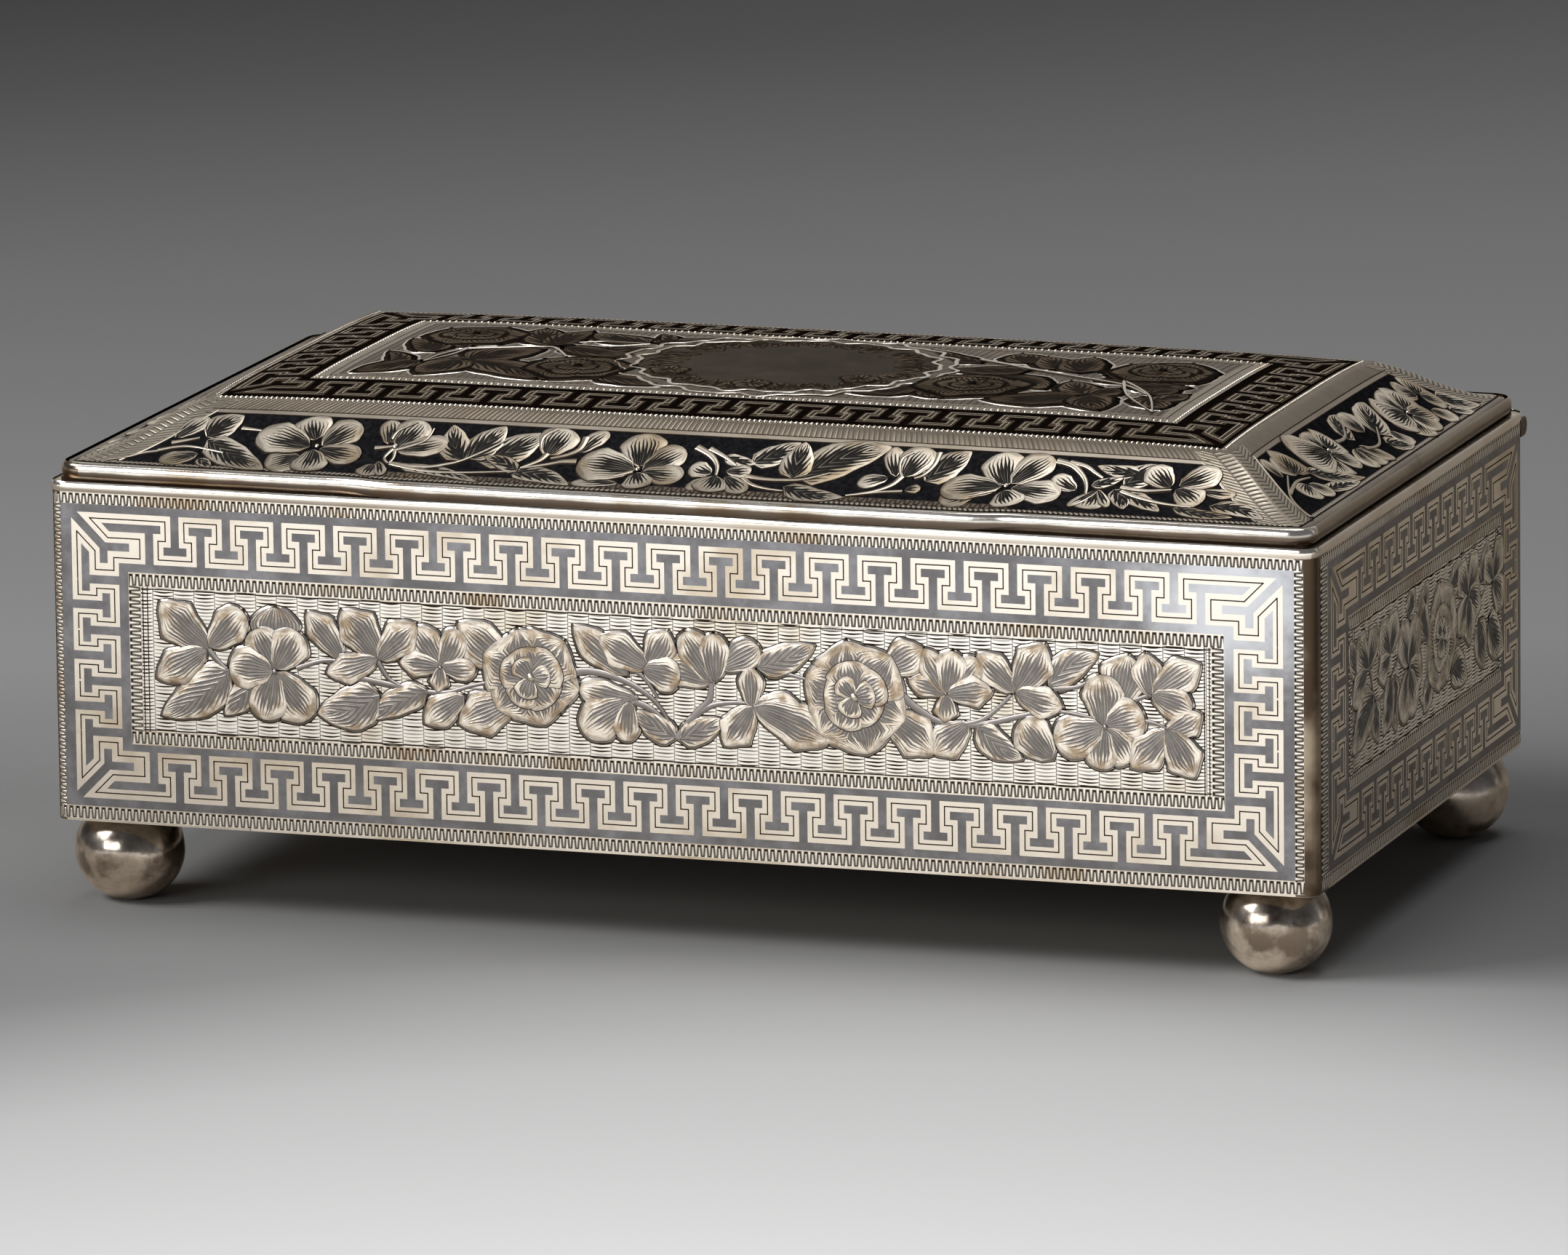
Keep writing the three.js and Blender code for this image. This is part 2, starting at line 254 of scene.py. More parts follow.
# Whether a place seen from above lies inside the lid's contour at an inset
def inside_contour(x, y, inset):
    radius = LIP_CORNER + (CREASE_CORNER - LIP_CORNER) * (inset - LIP_SETBACK) / (CREASE_INSET - LIP_SETBACK)
    across = abs(y)
    if y < 0:
        across -= thumb_swell(x) * swell_share(inset)
    past_x = abs(x) - (HALF_LENGTH - inset - radius)
    past_y = across - (HALF_DEPTH - inset - radius)
    if past_x > 0 and past_y > 0:
        return math.hypot(past_x, past_y) <= radius
    return past_x <= radius and past_y <= radius


# Level of the lid's upper face at a place seen from above, from the case's middle
def lid_level(x, y):
    if inside_contour(x, y, CREASE_INSET):
        return CREASE_LEVEL + top_rise(x, y)
    low = LIP_SETBACK
    high = CREASE_INSET
    for _ in range(20):
        middle = (low + high) / 2
        if inside_contour(x, y, middle):
            low = middle
        else:
            high = middle
    if HALF_DEPTH - abs(y) < HALF_LENGTH - abs(x):
        rise = CREASE_BOW * (1 - min(abs(x) / CREASE_X, 1) ** 4)
    else:
        rise = CREASE_BOW * (1 - min(abs(y) / CREASE_Y, 1) ** 4)
    share = max(0, (low - LIP_INSET) / (CREASE_INSET - LIP_INSET)) ** 2
    return between(OGEE_OUTWARD, OGEE_LEVELS, -low) + rise * share


# From a drawing on the lid's top to the case
def place_top(x, y, lift):
    return (x, y + CENTRE_Y, lid_level(x, y) + lift)


# From a drawing on a skirt to the case: along the side, down from the crease, and outward
def skirt_placer(side):
    _, half_across, turn = SIDES[side]

    def place(along, down, lift):
        inset = CREASE_INSET - down if down < 0 else skirt_inset(down)
        out = half_across - inset
        if side == "front":
            out += thumb_swell(along) * swell_share(inset)
        x, y = turn(along, out)
        return (x, y + CENTRE_Y, lid_level(x, y) + 1.15 * lift)
    return place


# From a drawing on a wall to the case: from its left end, down from its top, and outward
def wall_placer(side):
    half_along, half_across, turn = SIDES[side]

    def place(along, down, lift):
        along -= half_along
        past = abs(along) - (half_along - CASE_CORNER)
        out = half_across + lift
        if past > 0:
            angle = past / CASE_CORNER
            radius = CASE_CORNER + lift
            out = half_across - CASE_CORNER + radius * math.cos(angle)
            along = math.copysign(half_along - CASE_CORNER + radius * math.sin(angle), along)
        x, y = turn(along, out)
        return (x, y + CENTRE_Y, WALL_TOP - down)
    return place


class Sheet:
    """Faces of one drawing, each with a finish and a place in its finish's pattern."""

    def __init__(self):
        self.points = []
        self.faces = []

    def add(self, points, faces, finish, pattern):
        start = len(self.points)
        self.points += points
        for face in faces:
            self.faces.append(([start + i for i in face], finish, [pattern[i] for i in face]))

    # A flat shape with its pattern in millimetres
    def plate(self, outline, lift, finish):
        points = [(x, y, lift) for x, y in outline]
        self.add(points, [list(range(len(points)))], finish, outline)

    # A grid given by a function of two shares from 0 to 1
    def grid(self, columns, rows, finish, shape, pattern):
        points = []
        places = []
        for j in range(rows + 1):
            for i in range(columns + 1):
                points.append(shape(i / columns, j / rows))
                places.append(pattern(i / columns, j / rows))
        faces = []
        for j in range(rows):
            for i in range(columns):
                k = j * (columns + 1) + i
                faces.append([k, k + 1, k + columns + 2, k + columns + 1])
        self.add(points, faces, finish, places)

    # A rectangle of border or ground; its pattern runs along x or y and counts 0 to 1 across
    def field(self, low, high, lift, finish, upright=False, step=6.0):
        (x0, y0), (x1, y1) = low, high
        columns = max(1, round((x1 - x0) / step))
        rows = max(1, round((y1 - y0) / step))

        def pattern(i, j):
            if upright:
                return (y0 + j * (y1 - y0), i)
            return (x0 + i * (x1 - x0), j)
        self.grid(columns, rows, finish, lambda i, j: (x0 + i * (x1 - x0), y0 + j * (y1 - y0), lift), pattern)

    # A strip along a path, raised in its middle and pointed at an end that tapers
    def ribbon(self, path, width, lift, finish, height=0.03, taper=(1.0, 0.4), base=0.0):
        smooth = smooth_path(path)
        count = len(smooth)
        points = []
        places = []
        length = 0.0
        for k, (x, y) in enumerate(smooth):
            ahead = smooth[min(k + 1, count - 1)]
            behind = smooth[max(k - 1, 0)]
            dx = ahead[0] - behind[0]
            dy = ahead[1] - behind[1]
            size = math.hypot(dx, dy) or 1
            if k:
                length += math.hypot(x - smooth[k - 1][0], y - smooth[k - 1][1])
            share = k / (count - 1)
            half = width / 2 * (taper[0] + (taper[1] - taper[0]) * share)
            for place, rise in ((-1.25, base - lift), (-1, 0), (0, height), (1, 0), (1.25, base - lift)):
                points.append((x - dy / size * half * place, y + dx / size * half * place, lift + rise))
                places.append((length, place))
        faces = []
        inner = []
        for k in range(count - 1):
            for j in range(4):
                a = k * 5 + j
                (inner if j in (1, 2) else faces).append([a + 5, a + 6, a + 1, a])
        start = len(self.points)
        self.points += points
        for group, name in ((inner, finish), (faces, "line")):
            for face in group:
                self.faces.append(([start + i for i in face], name, [places[i] for i in face]))


# A curve through given points
def smooth_path(path, steps=5):
    if len(path) < 3:
        steps = 4
        first, last = path[0], path[-1]
        return [tuple(first[k] + (last[k] - first[k]) * i / steps for k in (0, 1)) for i in range(steps + 1)]
    points = []
    for i in range(len(path) - 1):
        before = path[max(i - 1, 0)]
        start = path[i]
        end = path[i + 1]
        after = path[min(i + 2, len(path) - 1)]
        for step in range(steps):
            t = step / steps
            points.append(tuple(
                0.5 * (2 * start[k] + (end[k] - before[k]) * t
                       + (2 * before[k] - 5 * start[k] + 4 * end[k] - after[k]) * t * t
                       + (3 * start[k] - before[k] - 3 * end[k] + after[k]) * t ** 3)
                for k in (0, 1)))
    points.append(tuple(path[-1]))
    return points


# Half width of a petal or leaf along it, as a share of its widest
def blade_width(share, kind):
    share = min(max(share, 0), 1)
    if kind == "L":
        return 2.38 * math.sqrt(share) * (1 - share) ** 0.8
    if share < 0.6:
        return (share / 0.6) ** 0.6
    past = (share - 0.6) / 0.4
    if kind == "F":
        return (1 - past ** 1.7) ** 0.9 * (1 + 0.06 * math.sin(9 * past))
    return math.sqrt(1 - past * past)


# A raised petal or leaf from its base to its tip, with a sunk dark edge all round; a halo is a cut
# outline on the ground round it, given by its finish, width and lift
def blade(sheet, base, tip, width, lift, finish, kind="P", rows=12, columns=6, dome=0.03, halo=None):
    length = math.dist(base, tip)
    ux = (tip[0] - base[0]) / length
    uy = (tip[1] - base[1]) / length
    bend = random.uniform(-0.07, 0.07) * length * (1.5 if kind == "L" else 0.6)
    wave = random.uniform(0, 6)
    shift = random.randrange(40)

    def spot(share, across, grow):
        along = share * (length + 2 * grow) - grow
        half = (width / 2 + grow) * blade_width(share, kind) + 0.06 * width * (1 - share) * (share > 0)
        half *= 1 + 0.035 * math.sin(wave + 19 * share)
        side = across * half + bend * math.sin(math.pi * share)
        return (base[0] + ux * along - uy * side, base[1] + uy * along + ux * side)

    def pattern(share, across):
        if kind == "L":
            rim = max(abs(across) ** 0.8, share ** 1.8)
            return (0.34 * share * length - 0.8 * abs(across) * width / 2 + shift, rim)
        rim = min(1, (share ** 2.4 + abs(across) ** 2.6) ** 0.42) * (0.78 if kind == "D" else 1)
        return (across * width / 2 + shift, rim)

    def row_share(step):
        return 1 - (1 - step / rows) ** 1.5

    points = []
    places = []
    for j in range(rows + 1):
        share = row_share(j)
        for i in range(columns + 1):
            across = 2 * i / columns - 1
            rise = 0
            if 0 < share < 1:
                rise = dome * (1 - across * across) * math.sin(math.pi * share) ** 0.6
            points.append((*spot(share, across, 0), lift + rise))
            places.append(pattern(share, across))
    faces = []
    for j in range(rows):
        for i in range(columns):
            k = j * (columns + 1) + i
            faces.append([k, k + 1, k + columns + 2, k + columns + 1])
    start = len(sheet.points)
    sheet.add(points, faces, finish, places)
    rim = [(j, columns) for j in range(rows + 1)] + [(j, 0) for j in range(rows, -1, -1)]
    rings = [(0.1, lift - 0.02, "line"), (0.1, 0.03, "line")]
    if halo:
        finish_out, width_out, level, gap, finish_gap, finish_rim = halo
        rings = [(0.1, lift - 0.02, finish_rim), (0.1, level, "line"), (0.1 + gap, level, finish_gap),
                 (0.1 + gap, level - 0.003, finish_out), (0.1 + gap + width_out, level - 0.003, finish_out)]
    rings.append((rings[-1][0], 0.0, rings[-1][2]))
    count = len(rim)
    flat = [(0.0, 0.0)] * 4
    inner = [start + j * (columns + 1) + i for j, i in rim]
    for grow, level, name in rings:
        outer = [len(sheet.points) + k for k in range(count)]
        sheet.points += [(*spot(row_share(j), 2 * i / columns - 1, grow), level) for j, i in rim]
        for k in range(count):
            n = (k + 1) % count
            if inner[k] != inner[n]:
                sheet.faces.append(([inner[k], outer[k], outer[n], inner[n]], name, flat))
        inner = outer


# A small round knob at a flower's heart
def knob(sheet, centre, width, lift, finish):
    sides = 10

    def shape(i, j):
        angle = 2 * math.pi * i
        radius = width / 2 * math.sin(math.pi / 2 * (1 - j))
        return (centre[0] + radius * math.cos(angle), centre[1] + radius * math.sin(angle),
                lift + 0.3 * width * math.sin(math.pi / 2 * j))
    sheet.grid(sides, 3, finish, shape, lambda i, j: (i, 1.0))


# A full rose: six broad petals round a heart of small closed ones
def rose(sheet, centre, radius, lift, finish, turn=0.3, halo=None):
    for ring, (share, count) in enumerate(((1.0, 6), (0.64, 5), (0.4, 3))):
        for k in range(count):
            angle = turn + 2 * math.pi * (k + 0.35 * ring + random.uniform(-0.1, 0.1)) / count
            reach = radius * share * random.uniform(0.88, 1.06)
            tip = (centre[0] + reach * math.cos(angle), centre[1] + reach * math.sin(angle))
            base = (centre[0] + 0.1 * math.cos(angle), centre[1] + 0.1 * math.sin(angle))
            width = radius * share * random.uniform(1.0, 1.3)
            kind, edge = ("F", halo) if ring == 0 else ("P", None)
            blade(sheet, base, tip, width, lift + 0.055 * ring + 0.01 * k, finish, kind, halo=edge)
    knob(sheet, centre, radius * 0.16, lift + 0.1, finish)


LAYER = 0.022


# A garland from its list of petals, leaves, bright leaves, stems, knobs and roses
def garland(sheet, rows, petal_finish, stem_finish, halo=None, low=0.06, rose_finish=None):
    for kind, points, width, layer in sorted(rows, key=lambda row: row[3]):
        lift = low + LAYER * layer
        if kind == "S":
            sheet.ribbon(points, width, lift, stem_finish)
        elif kind == "K":
            knob(sheet, points[0], 0.6 * width, lift, stem_finish)
        elif kind == "R":
            rose(sheet, points[0], width, lift, rose_finish or petal_finish, halo=halo)
        elif kind == "B":
            (x0, y0), (x1, y1) = points
            for sign in (-1, 1):
                bow = 0.5 * width * sign / math.dist((x0, y0), (x1, y1))
                middle = ((x0 + x1) / 2 - bow * (y1 - y0), (y0 + y1) / 2 + bow * (x1 - x0))
                sheet.ribbon([(x0, y0), middle, (x1, y1)], 0.4, lift, "top_edge")
        else:
            blade(sheet, points[0], points[1], width, lift, petal_finish, kind, halo=halo)


# The end of one side of the Greek key, in distances along from the outer corner and inward
def key_shapes(half_side, end_tee, steps, depth, arm):
    half_pitch = 2 * (half_side - end_tee) / steps
    scale = depth / KEY_DEPTH
    stem = KEY_STEM / 2
    bar = KEY_BAR_LENGTH / 2
    low, level, deep = KEY_LINE_DEPTHS
    near, far = KEY_LINE_REACH
    shapes = []
    lines = []
    for step in range(steps // 2 + 1):
        middle = end_tee + step * half_pitch
        if middle > half_side + 0.01:
            break
        tee = [(-stem, 0), (stem, 0), (stem, KEY_BAR_FROM), (bar, KEY_BAR_FROM), (bar, KEY_BAR_TO),
               (-bar, KEY_BAR_TO), (-bar, KEY_BAR_FROM), (-stem, KEY_BAR_FROM)]
        if step % 2 == 0:
            tee = [(x, KEY_DEPTH - y) for x, y in tee]
        if step == 0:
            slant_low = KEY_DEPTH - KEY_BAR_TO + 2.5
            slant_high = KEY_DEPTH - KEY_BAR_FROM + 2.5
            tee[5] = (slant_low - middle, KEY_DEPTH - KEY_BAR_TO)
            tee[6] = (slant_high - middle, KEY_DEPTH - KEY_BAR_FROM)
        if abs(middle - half_side) < 0.01:
            tee = [(min(x, 0), y) for x, y in tee]
        shapes.append([(middle + x, y * scale) for x, y in tee])
        if step % 2 == 1:
            for sign in (1, -1):
                line = [(0, deep), (sign * far, deep), (sign * far, level), (sign * near, level),
                        (sign * near, low)]
                reach = half_pitch if step > 1 or sign > 0 else middle - end_tee
                line.append((sign * min(half_pitch, reach), low))
                lines.append([(middle + x * half_pitch / KEY_HALF_PITCH, y * scale) for x, y in line])
    inner, outer = KEY_CORNER_BAR
    shapes.append([(0, 0), (KEY_DIAGONAL, 0), (inner + KEY_DIAGONAL, inner * scale), (arm, inner * scale),
                   (arm, outer * scale), (outer, outer * scale)])
    start = end_tee - near
    lines.append([(start, deep * scale), (start, KEY_CORNER_LEVEL * scale),
                  (KEY_CORNER_LINE[1], KEY_CORNER_LEVEL * scale), (KEY_CORNER_LINE[0], low * scale),
                  (end_tee, low * scale)])
    lines.append([(start, deep * scale), (deep, deep * scale)])
    return shapes, lines


# A thin flat line along straight stretches
def hairline(sheet, path, width, lift, finish):
    for (x0, y0), (x1, y1) in zip(path, path[1:]):
        length = math.dist((x0, y0), (x1, y1))
        if length < 1e-6:
            continue
        dx = (x1 - x0) / length * width / 2
        dy = (y1 - y0) / length * width / 2
        sheet.plate([(x0 - dx - dy, y0 - dy + dx), (x1 + dx - dy, y1 + dy + dx),
                     (x1 + dx + dy, y1 + dy - dx), (x0 - dx + dy, y0 - dy - dx)], lift, finish)


# The Greek key all round a rectangle, from the outer edge of its figure
def key_frame(sheet, low, high, depth, row_end, row_steps, column_end, column_steps, lift, finish,
              line_finish, line):
    (x0, y0), (x1, y1) = low, high
    width, offsets = line
    half_x = (x1 - x0) / 2
    half_y = (y1 - y0) / 2
    rows = key_shapes(half_x, row_end, row_steps, depth, 7.0)
    columns = key_shapes(half_y, column_end, column_steps, depth, 5.8)
    for flip_x in (False, True):
        for flip_y in (False, True):
            for upright, (shapes, lines) in ((False, rows), (True, columns)):

                def turned(point):
                    along, inward = (point[1], point[0]) if upright else point
                    return (x1 - along if flip_x else x0 + along, y1 - inward if flip_y else y0 + inward)
                for shape in shapes:
                    sheet.plate([turned(point) for point in shape], lift, finish)
                for path in lines:
                    for offset in offsets:
                        moved = [turned((x + offset, y + offset)) for x, y in path]
                        hairline(sheet, moved, width, lift + 0.006, line_finish)


# Four border strips round a rectangle, given their widths at the ends and at top and foot
def frame_strips(sheet, low, high, side_width, row_width, lift, finish, step=6.0):
    (x0, y0), (x1, y1) = low, high
    for foot, top in ((y0, y0 + row_width), (y1 - row_width, y1)):
        sheet.field((x0, foot), (x1, top), lift, finish, step=step)
    for left, right in ((x0, x0 + side_width), (x1 - side_width, x1)):
        sheet.field((left, y0 + row_width), (right, y1 - row_width), lift, finish, upright=True, step=step)


# Colour from a hex sRGB value
def colour(value):
    parts = [int(value[i:i + 2], 16) / 255 for i in (0, 2, 4)]
    return (*(part / 12.92 if part <= 0.04045 else ((part + 0.055) / 1.055) ** 2.4 for part in parts), 1.0)


class Finish:
    """A node material with one principled surface."""

    def __init__(self, name, roughness=0.3, metallic=1.0):
        self.material = bpy.data.materials.new(name)
        self.material.use_nodes = True
        self.tree = self.material.node_tree
        self.surface = self.tree.nodes["Principled BSDF"]
        self.surface.inputs["Metallic"].default_value = metallic
        self.surface.inputs["Roughness"].default_value = roughness

    def node(self, kind, inputs, output=0, **settings):
        node = self.tree.nodes.new(kind)
        for key, value in settings.items():
            setattr(node, key, value)
        for key, value in inputs.items():
            self.put(node.inputs[key], value)
        return node.outputs[output]

    def put(self, socket, value):
        if isinstance(value, bpy.types.NodeSocket):
            self.tree.links.new(value, socket)
        else:
            socket.default_value = value

    def sum(self, operation, first, second=0.0, third=0.0):
        return self.node("ShaderNodeMath", {0: first, 1: second, 2: third}, operation=operation)

    def times(self, first, second):
        return self.sum("MULTIPLY", first, second)

    def plus(self, first, second):
        return self.sum("ADD", first, second)

    def minus(self, first, second):
        return self.sum("SUBTRACT", first, second)

    def blend(self, share, first, second):
        return self.node("ShaderNodeMix", {0: share, 6: first, 7: second}, output=2, data_type="RGBA")

    # 0 below the low value and 1 above the high one, or the other way round
    def step(self, value, low, high):
        inputs = {0: value, 1: low, 2: high, 3: 0.0, 4: 1.0}
        return self.node("ShaderNodeMapRange", inputs, interpolation_type="SMOOTHSTEP")

    # Place in the drawing's pattern
    def pattern(self):
        place = self.node("ShaderNodeUVMap", {}, uv_map="pattern")
        parts = self.tree.nodes.new("ShaderNodeSeparateXYZ")
        self.tree.links.new(place, parts.inputs[0])
        return parts.outputs[0], parts.outputs[1]

    # Noise whose grain is a real length in millimetres
    def noise(self, size, detail=3.0, roughness=0.55):
        place = self.node("ShaderNodeTexCoord", {}, output=3)
        inputs = {"Vector": place, "Scale": 1000 / size, "Detail": detail, "Roughness": roughness}
        return self.node("ShaderNodeTexNoise", inputs)

    # Colour from given stops of (value, hex)
    def ramp(self, value, stops):
        low = stops[0][0]
        high = stops[-1][0]
        share = self.node("ShaderNodeMapRange", {0: value, 1: low, 2: high, 3: 0.0, 4: 1.0})
        node = self.tree.nodes.new("ShaderNodeValToRGB")
        node.color_ramp.interpolation = "LINEAR"
        for k, (place, tone) in enumerate(stops):
            elements = node.color_ramp.elements
            element = elements[k] if k < 2 and k < len(elements) else elements.new(1.0)
            element.position = (place - low) / (high - low)
            element.color = colour(tone)
        self.tree.links.new(share, node.inputs[0])
        return node.outputs[0]

    # A different number for each whole number, from 0 to 1
    def chance(self, value, other=0.0):
        place = self.node("ShaderNodeCombineXYZ", {0: value, 1: other})
        return self.node("ShaderNodeTexWhiteNoise", {0: place}, noise_dimensions="2D")

    # 0 at the middle of each stroke of a row of strokes and 1 between two
    def strokes(self, value, pitch):
        phase = self.sum("FRACT", self.sum("DIVIDE", value, pitch))
        return self.sum("ABSOLUTE", self.sum("MULTIPLY_ADD", phase, 2.0, -1.0))

    def whole(self, value, pitch):
        return self.sum("FLOOR", self.sum("DIVIDE", value, pitch))

    # Base colour, roughness and relief; where a share of dark is given, that part isn't metal
    def paint(self, base, roughness=None, relief=None, depth=0.05, dark=None):
        self.put(self.surface.inputs["Base Color"], base)
        if dark is not None:
            self.put(self.surface.inputs["Metallic"], self.minus(1.0, dark))
            self.surface.inputs["Specular IOR Level"].default_value = 0.0
        if roughness is not None:
            self.put(self.surface.inputs["Roughness"], roughness)
        if relief is not None:
            inputs = {"Strength": 1.0, "Distance": depth / 1000, "Height": relief}
            self.put(self.surface.inputs["Normal"], self.node("ShaderNodeBump", inputs))
        return self.material

    # Silver with a yellow-brown tarnish that gathers in patches
    def tarnished(self, silver, tarnish, size=16.0, amount=(0.5, 0.75), strength=0.7):
        patches = self.step(self.noise(size, 4.0), amount[0], amount[1])
        return self.blend(self.times(patches, strength), colour(silver), colour(tarnish))


SILVER = "ded7cb"


# Engraved and blackened groove
def groove():
    finish = Finish("blackened engraved groove", roughness=0.6, metallic=0.0)
    finish.surface.inputs["Specular IOR Level"].default_value = 0.0
    return finish.paint(finish.blend(finish.noise(0.6), colour("1d1713"), colour("40342a")))


# Plain hand-finished silver sheet
def plain_silver(name, silver, tarnish, roughness, strength=0.6, amount=(0.48, 0.72)):
    finish = Finish(name)
    base = finish.tarnished(silver, tarnish, 14.0, amount, strength)
    rough = finish.sum("MULTIPLY_ADD", finish.noise(3.0), 0.16, roughness - 0.08)
    return finish.paint(base, rough, finish.noise(5.0, 2.0), 0.02)


# Niello: the grey-black alloy fused into the silver, with a painted highlight round one spot if asked
def niello(name, base, light, roughness, metallic=1.0, size=0.7, sheen=0.0, burnished=None):
    finish = Finish(name, metallic=metallic)
    finish.surface.inputs["Specular IOR Level"].default_value = 0.5 if metallic else sheen
    tone = finish.step(finish.noise(size, 5.0, 0.7), 0.35, 0.8)
    shade = finish.blend(tone, colour(base), colour(light))
    # Painted highlight: a soft whitish patch round the given spot stands in for a lamp's reflection
    if burnished:
        spot, worn = burnished
        place = finish.node("ShaderNodeTexCoord", {}, output="Object")
        ends = {0: place, 1: [value / 1000 for value in spot]}
        away = finish.node("ShaderNodeVectorMath", ends, output="Value", operation="DISTANCE")
        near = finish.step(finish.sum("MULTIPLY_ADD", finish.noise(3.0, 3.0), 0.012, away), 0.021, 0.008)
        shade = finish.blend(finish.times(near, 0.75), shade, colour(worn))
    return finish.paint(shade, roughness, finish.noise(0.5), 0.008)


# Wriggle-cut border: a steep bright zigzag with rounded turns between dark wedge cuts
def zigzag(name, silver, dark, pitch=0.79):
    finish = Finish(name, roughness=0.26)
    along, across = finish.pattern()
    saw = finish.strokes(along, pitch)
    lean = finish.sum("MULTIPLY_ADD", across, -0.34, 0.17)
    off = finish.sum("ABSOLUTE", finish.plus(finish.minus(saw, 0.5), lean))
    stroke = finish.step(off, 0.38, 0.17)
    cap = finish.times(finish.step(across, 0.3, 0.18), finish.step(saw, 0.55, 0.4))
    foot = finish.times(finish.step(across, 0.84, 0.92), finish.step(saw, 0.5, 0.62))
    cut = finish.sum("MAXIMUM", finish.times(stroke, 0.9), finish.sum("MAXIMUM", cap, foot))
    side = finish.step(finish.sum("ABSOLUTE", finish.minus(across, 0.5)), 0.5, 0.46)
    cut = finish.times(cut, side)
    base = finish.blend(cut, finish.tarnished(silver, "c9ac84", 9.0), colour(dark))
    return finish.paint(base, 0.28, finish.minus(1.0, cut), 0.09, dark=cut)


# Basket-weave ground: columns of stacked cuts, each column half a cut off its neighbour
def weave():
    finish = Finish("bright-cut basket-weave silver ground", roughness=0.24)
    along, down = finish.pattern()
    column = finish.whole(along, WEAVE_COLUMN)
    half = finish.times(finish.sum("FRACT", finish.times(column, 0.5)), 2.0)
    share = finish.sum("FRACT", finish.sum("DIVIDE", along, WEAVE_COLUMN))
    place = finish.minus(finish.times(share, 2.0), 1.0)
    bow = finish.times(place, place)
    wander = finish.times(finish.noise(1.6, 2.0), 0.16)
    row = finish.plus(finish.plus(down, finish.times(half, WEAVE_CUT / 2)), finish.times(bow, 0.1))
    gap = finish.strokes(finish.plus(row, wander), WEAVE_CUT)
    thin = finish.sum("MULTIPLY_ADD", bow, -0.34, 0.36)
    cut = finish.step(finish.minus(gap, thin), 0.16, 0.0)
    notch = finish.step(bow, 0.88, 0.99)
    pick = finish.chance(finish.whole(row, WEAVE_CUT), column)
    cut = finish.times(cut, finish.sum("MULTIPLY_ADD", pick, 0.7, 0.5))
    dark = finish.sum("MINIMUM", finish.sum("MAXIMUM", cut, finish.times(notch, 0.7)), 1.0)
    base = finish.blend(dark, finish.tarnished("fffcf5", "d9c6a4", 12.0), colour("2e241b"))
    return finish.paint(base, 0.28, finish.minus(1.0, dark), 0.06, dark=dark)


# The lid's sheet: black niello under the ornament, plain silver with soft tarnish inside
def lid_sheet():
    finish = Finish("niello above and plain silver inside the lid", roughness=0.3)
    normal = finish.node("ShaderNodeTexCoord", {}, output="Normal")
    level = finish.node("ShaderNodeSeparateXYZ", {0: normal}, output="Z")
    above = finish.step(level, -0.05, 0.05)
    base = finish.blend(above, finish.tarnished("c9c0b2", "8b7a60", 12.0), colour("2a2725"))
    return finish.paint(base, 0.3, dark=above)


# Rolled lip: bright above with tarnish in patches, and painted shade in brown along its lower side, which
# faces down into the seam
def lip_edge(silver, tarnish):
    finish = Finish("polished lip with brown tarnish below", roughness=0.16)
    up = finish.pattern()[1]
    wander = finish.times(finish.noise(4.0), 0.1)
    # Painted shade: brown along the lower side of the roll
    low = finish.step(finish.plus(up, wander), 0.64, 0.5)
    base = finish.blend(finish.times(low, 0.9), finish.tarnished(silver, tarnish, 9.0), colour("4f3c2a"))
    return finish.paint(base, finish.sum("MULTIPLY_ADD", low, 0.14, 0.16))


# Petals and leaves: a niello heart with ragged edges, cut lines and a bright silver margin
def blades(name, silver, core, line, pitch, heart, cut, tarnish, rough=0.3, core_rough=0.36, matt=0.0,
           mottle=0.35, soft=0.035, metal=1.0, patch=7.0, jag=0.12, rim_line=(0.95, 0.995, 0.35)):
    finish = Finish(name)
    across, rim = finish.pattern()
    saw = finish.strokes(across, pitch)
    pick = finish.chance(finish.whole(across, pitch))
    ragged = finish.plus(finish.times(saw, jag), finish.times(pick, 0.22))
    edge = finish.plus(heart - 0.11 - jag / 2, ragged)
    in_core = finish.step(finish.minus(rim, edge), soft, -soft)
    reach_from = finish.sum("MULTIPLY_ADD", pick, 0.2, 0.78)
    reach_to = finish.sum("MULTIPLY_ADD", pick, 0.2, 0.68)
    reach = finish.step(rim, reach_from, reach_to)
    stroke = finish.times(finish.step(saw, 0.5, 0.75), reach)
    worn = finish.tarnished(silver, tarnish, patch, (0.4, 0.66), 0.85)
    margin = finish.blend(finish.times(stroke, cut), worn, colour(line))
    inside = finish.step(rim, edge, finish.minus(edge, 0.3))
    glint = finish.times(finish.step(saw, 0.3, 0.05), inside)
    heart_tone = finish.blend(finish.times(finish.noise(1.3), mottle), colour(core), colour(silver))
    heart_tone = finish.blend(finish.times(finish.times(glint, pick), 0.3), heart_tone, colour(silver))
    base = finish.blend(in_core, margin, heart_tone)
    outline = finish.step(rim, rim_line[0], rim_line[1])
    base = finish.blend(finish.times(outline, rim_line[2]), base, colour(line))
    roughness = finish.sum("MULTIPLY_ADD", in_core, core_rough - rough, rough)
    relief = finish.minus(finish.times(in_core, -0.4), stroke)
    dark = finish.times(finish.sum("MAXIMUM", in_core, finish.times(stroke, cut)), matt)
    dark = finish.sum("MAXIMUM", dark, 1 - metal)
    return finish.paint(base, roughness, relief, 0.03, dark=dark)


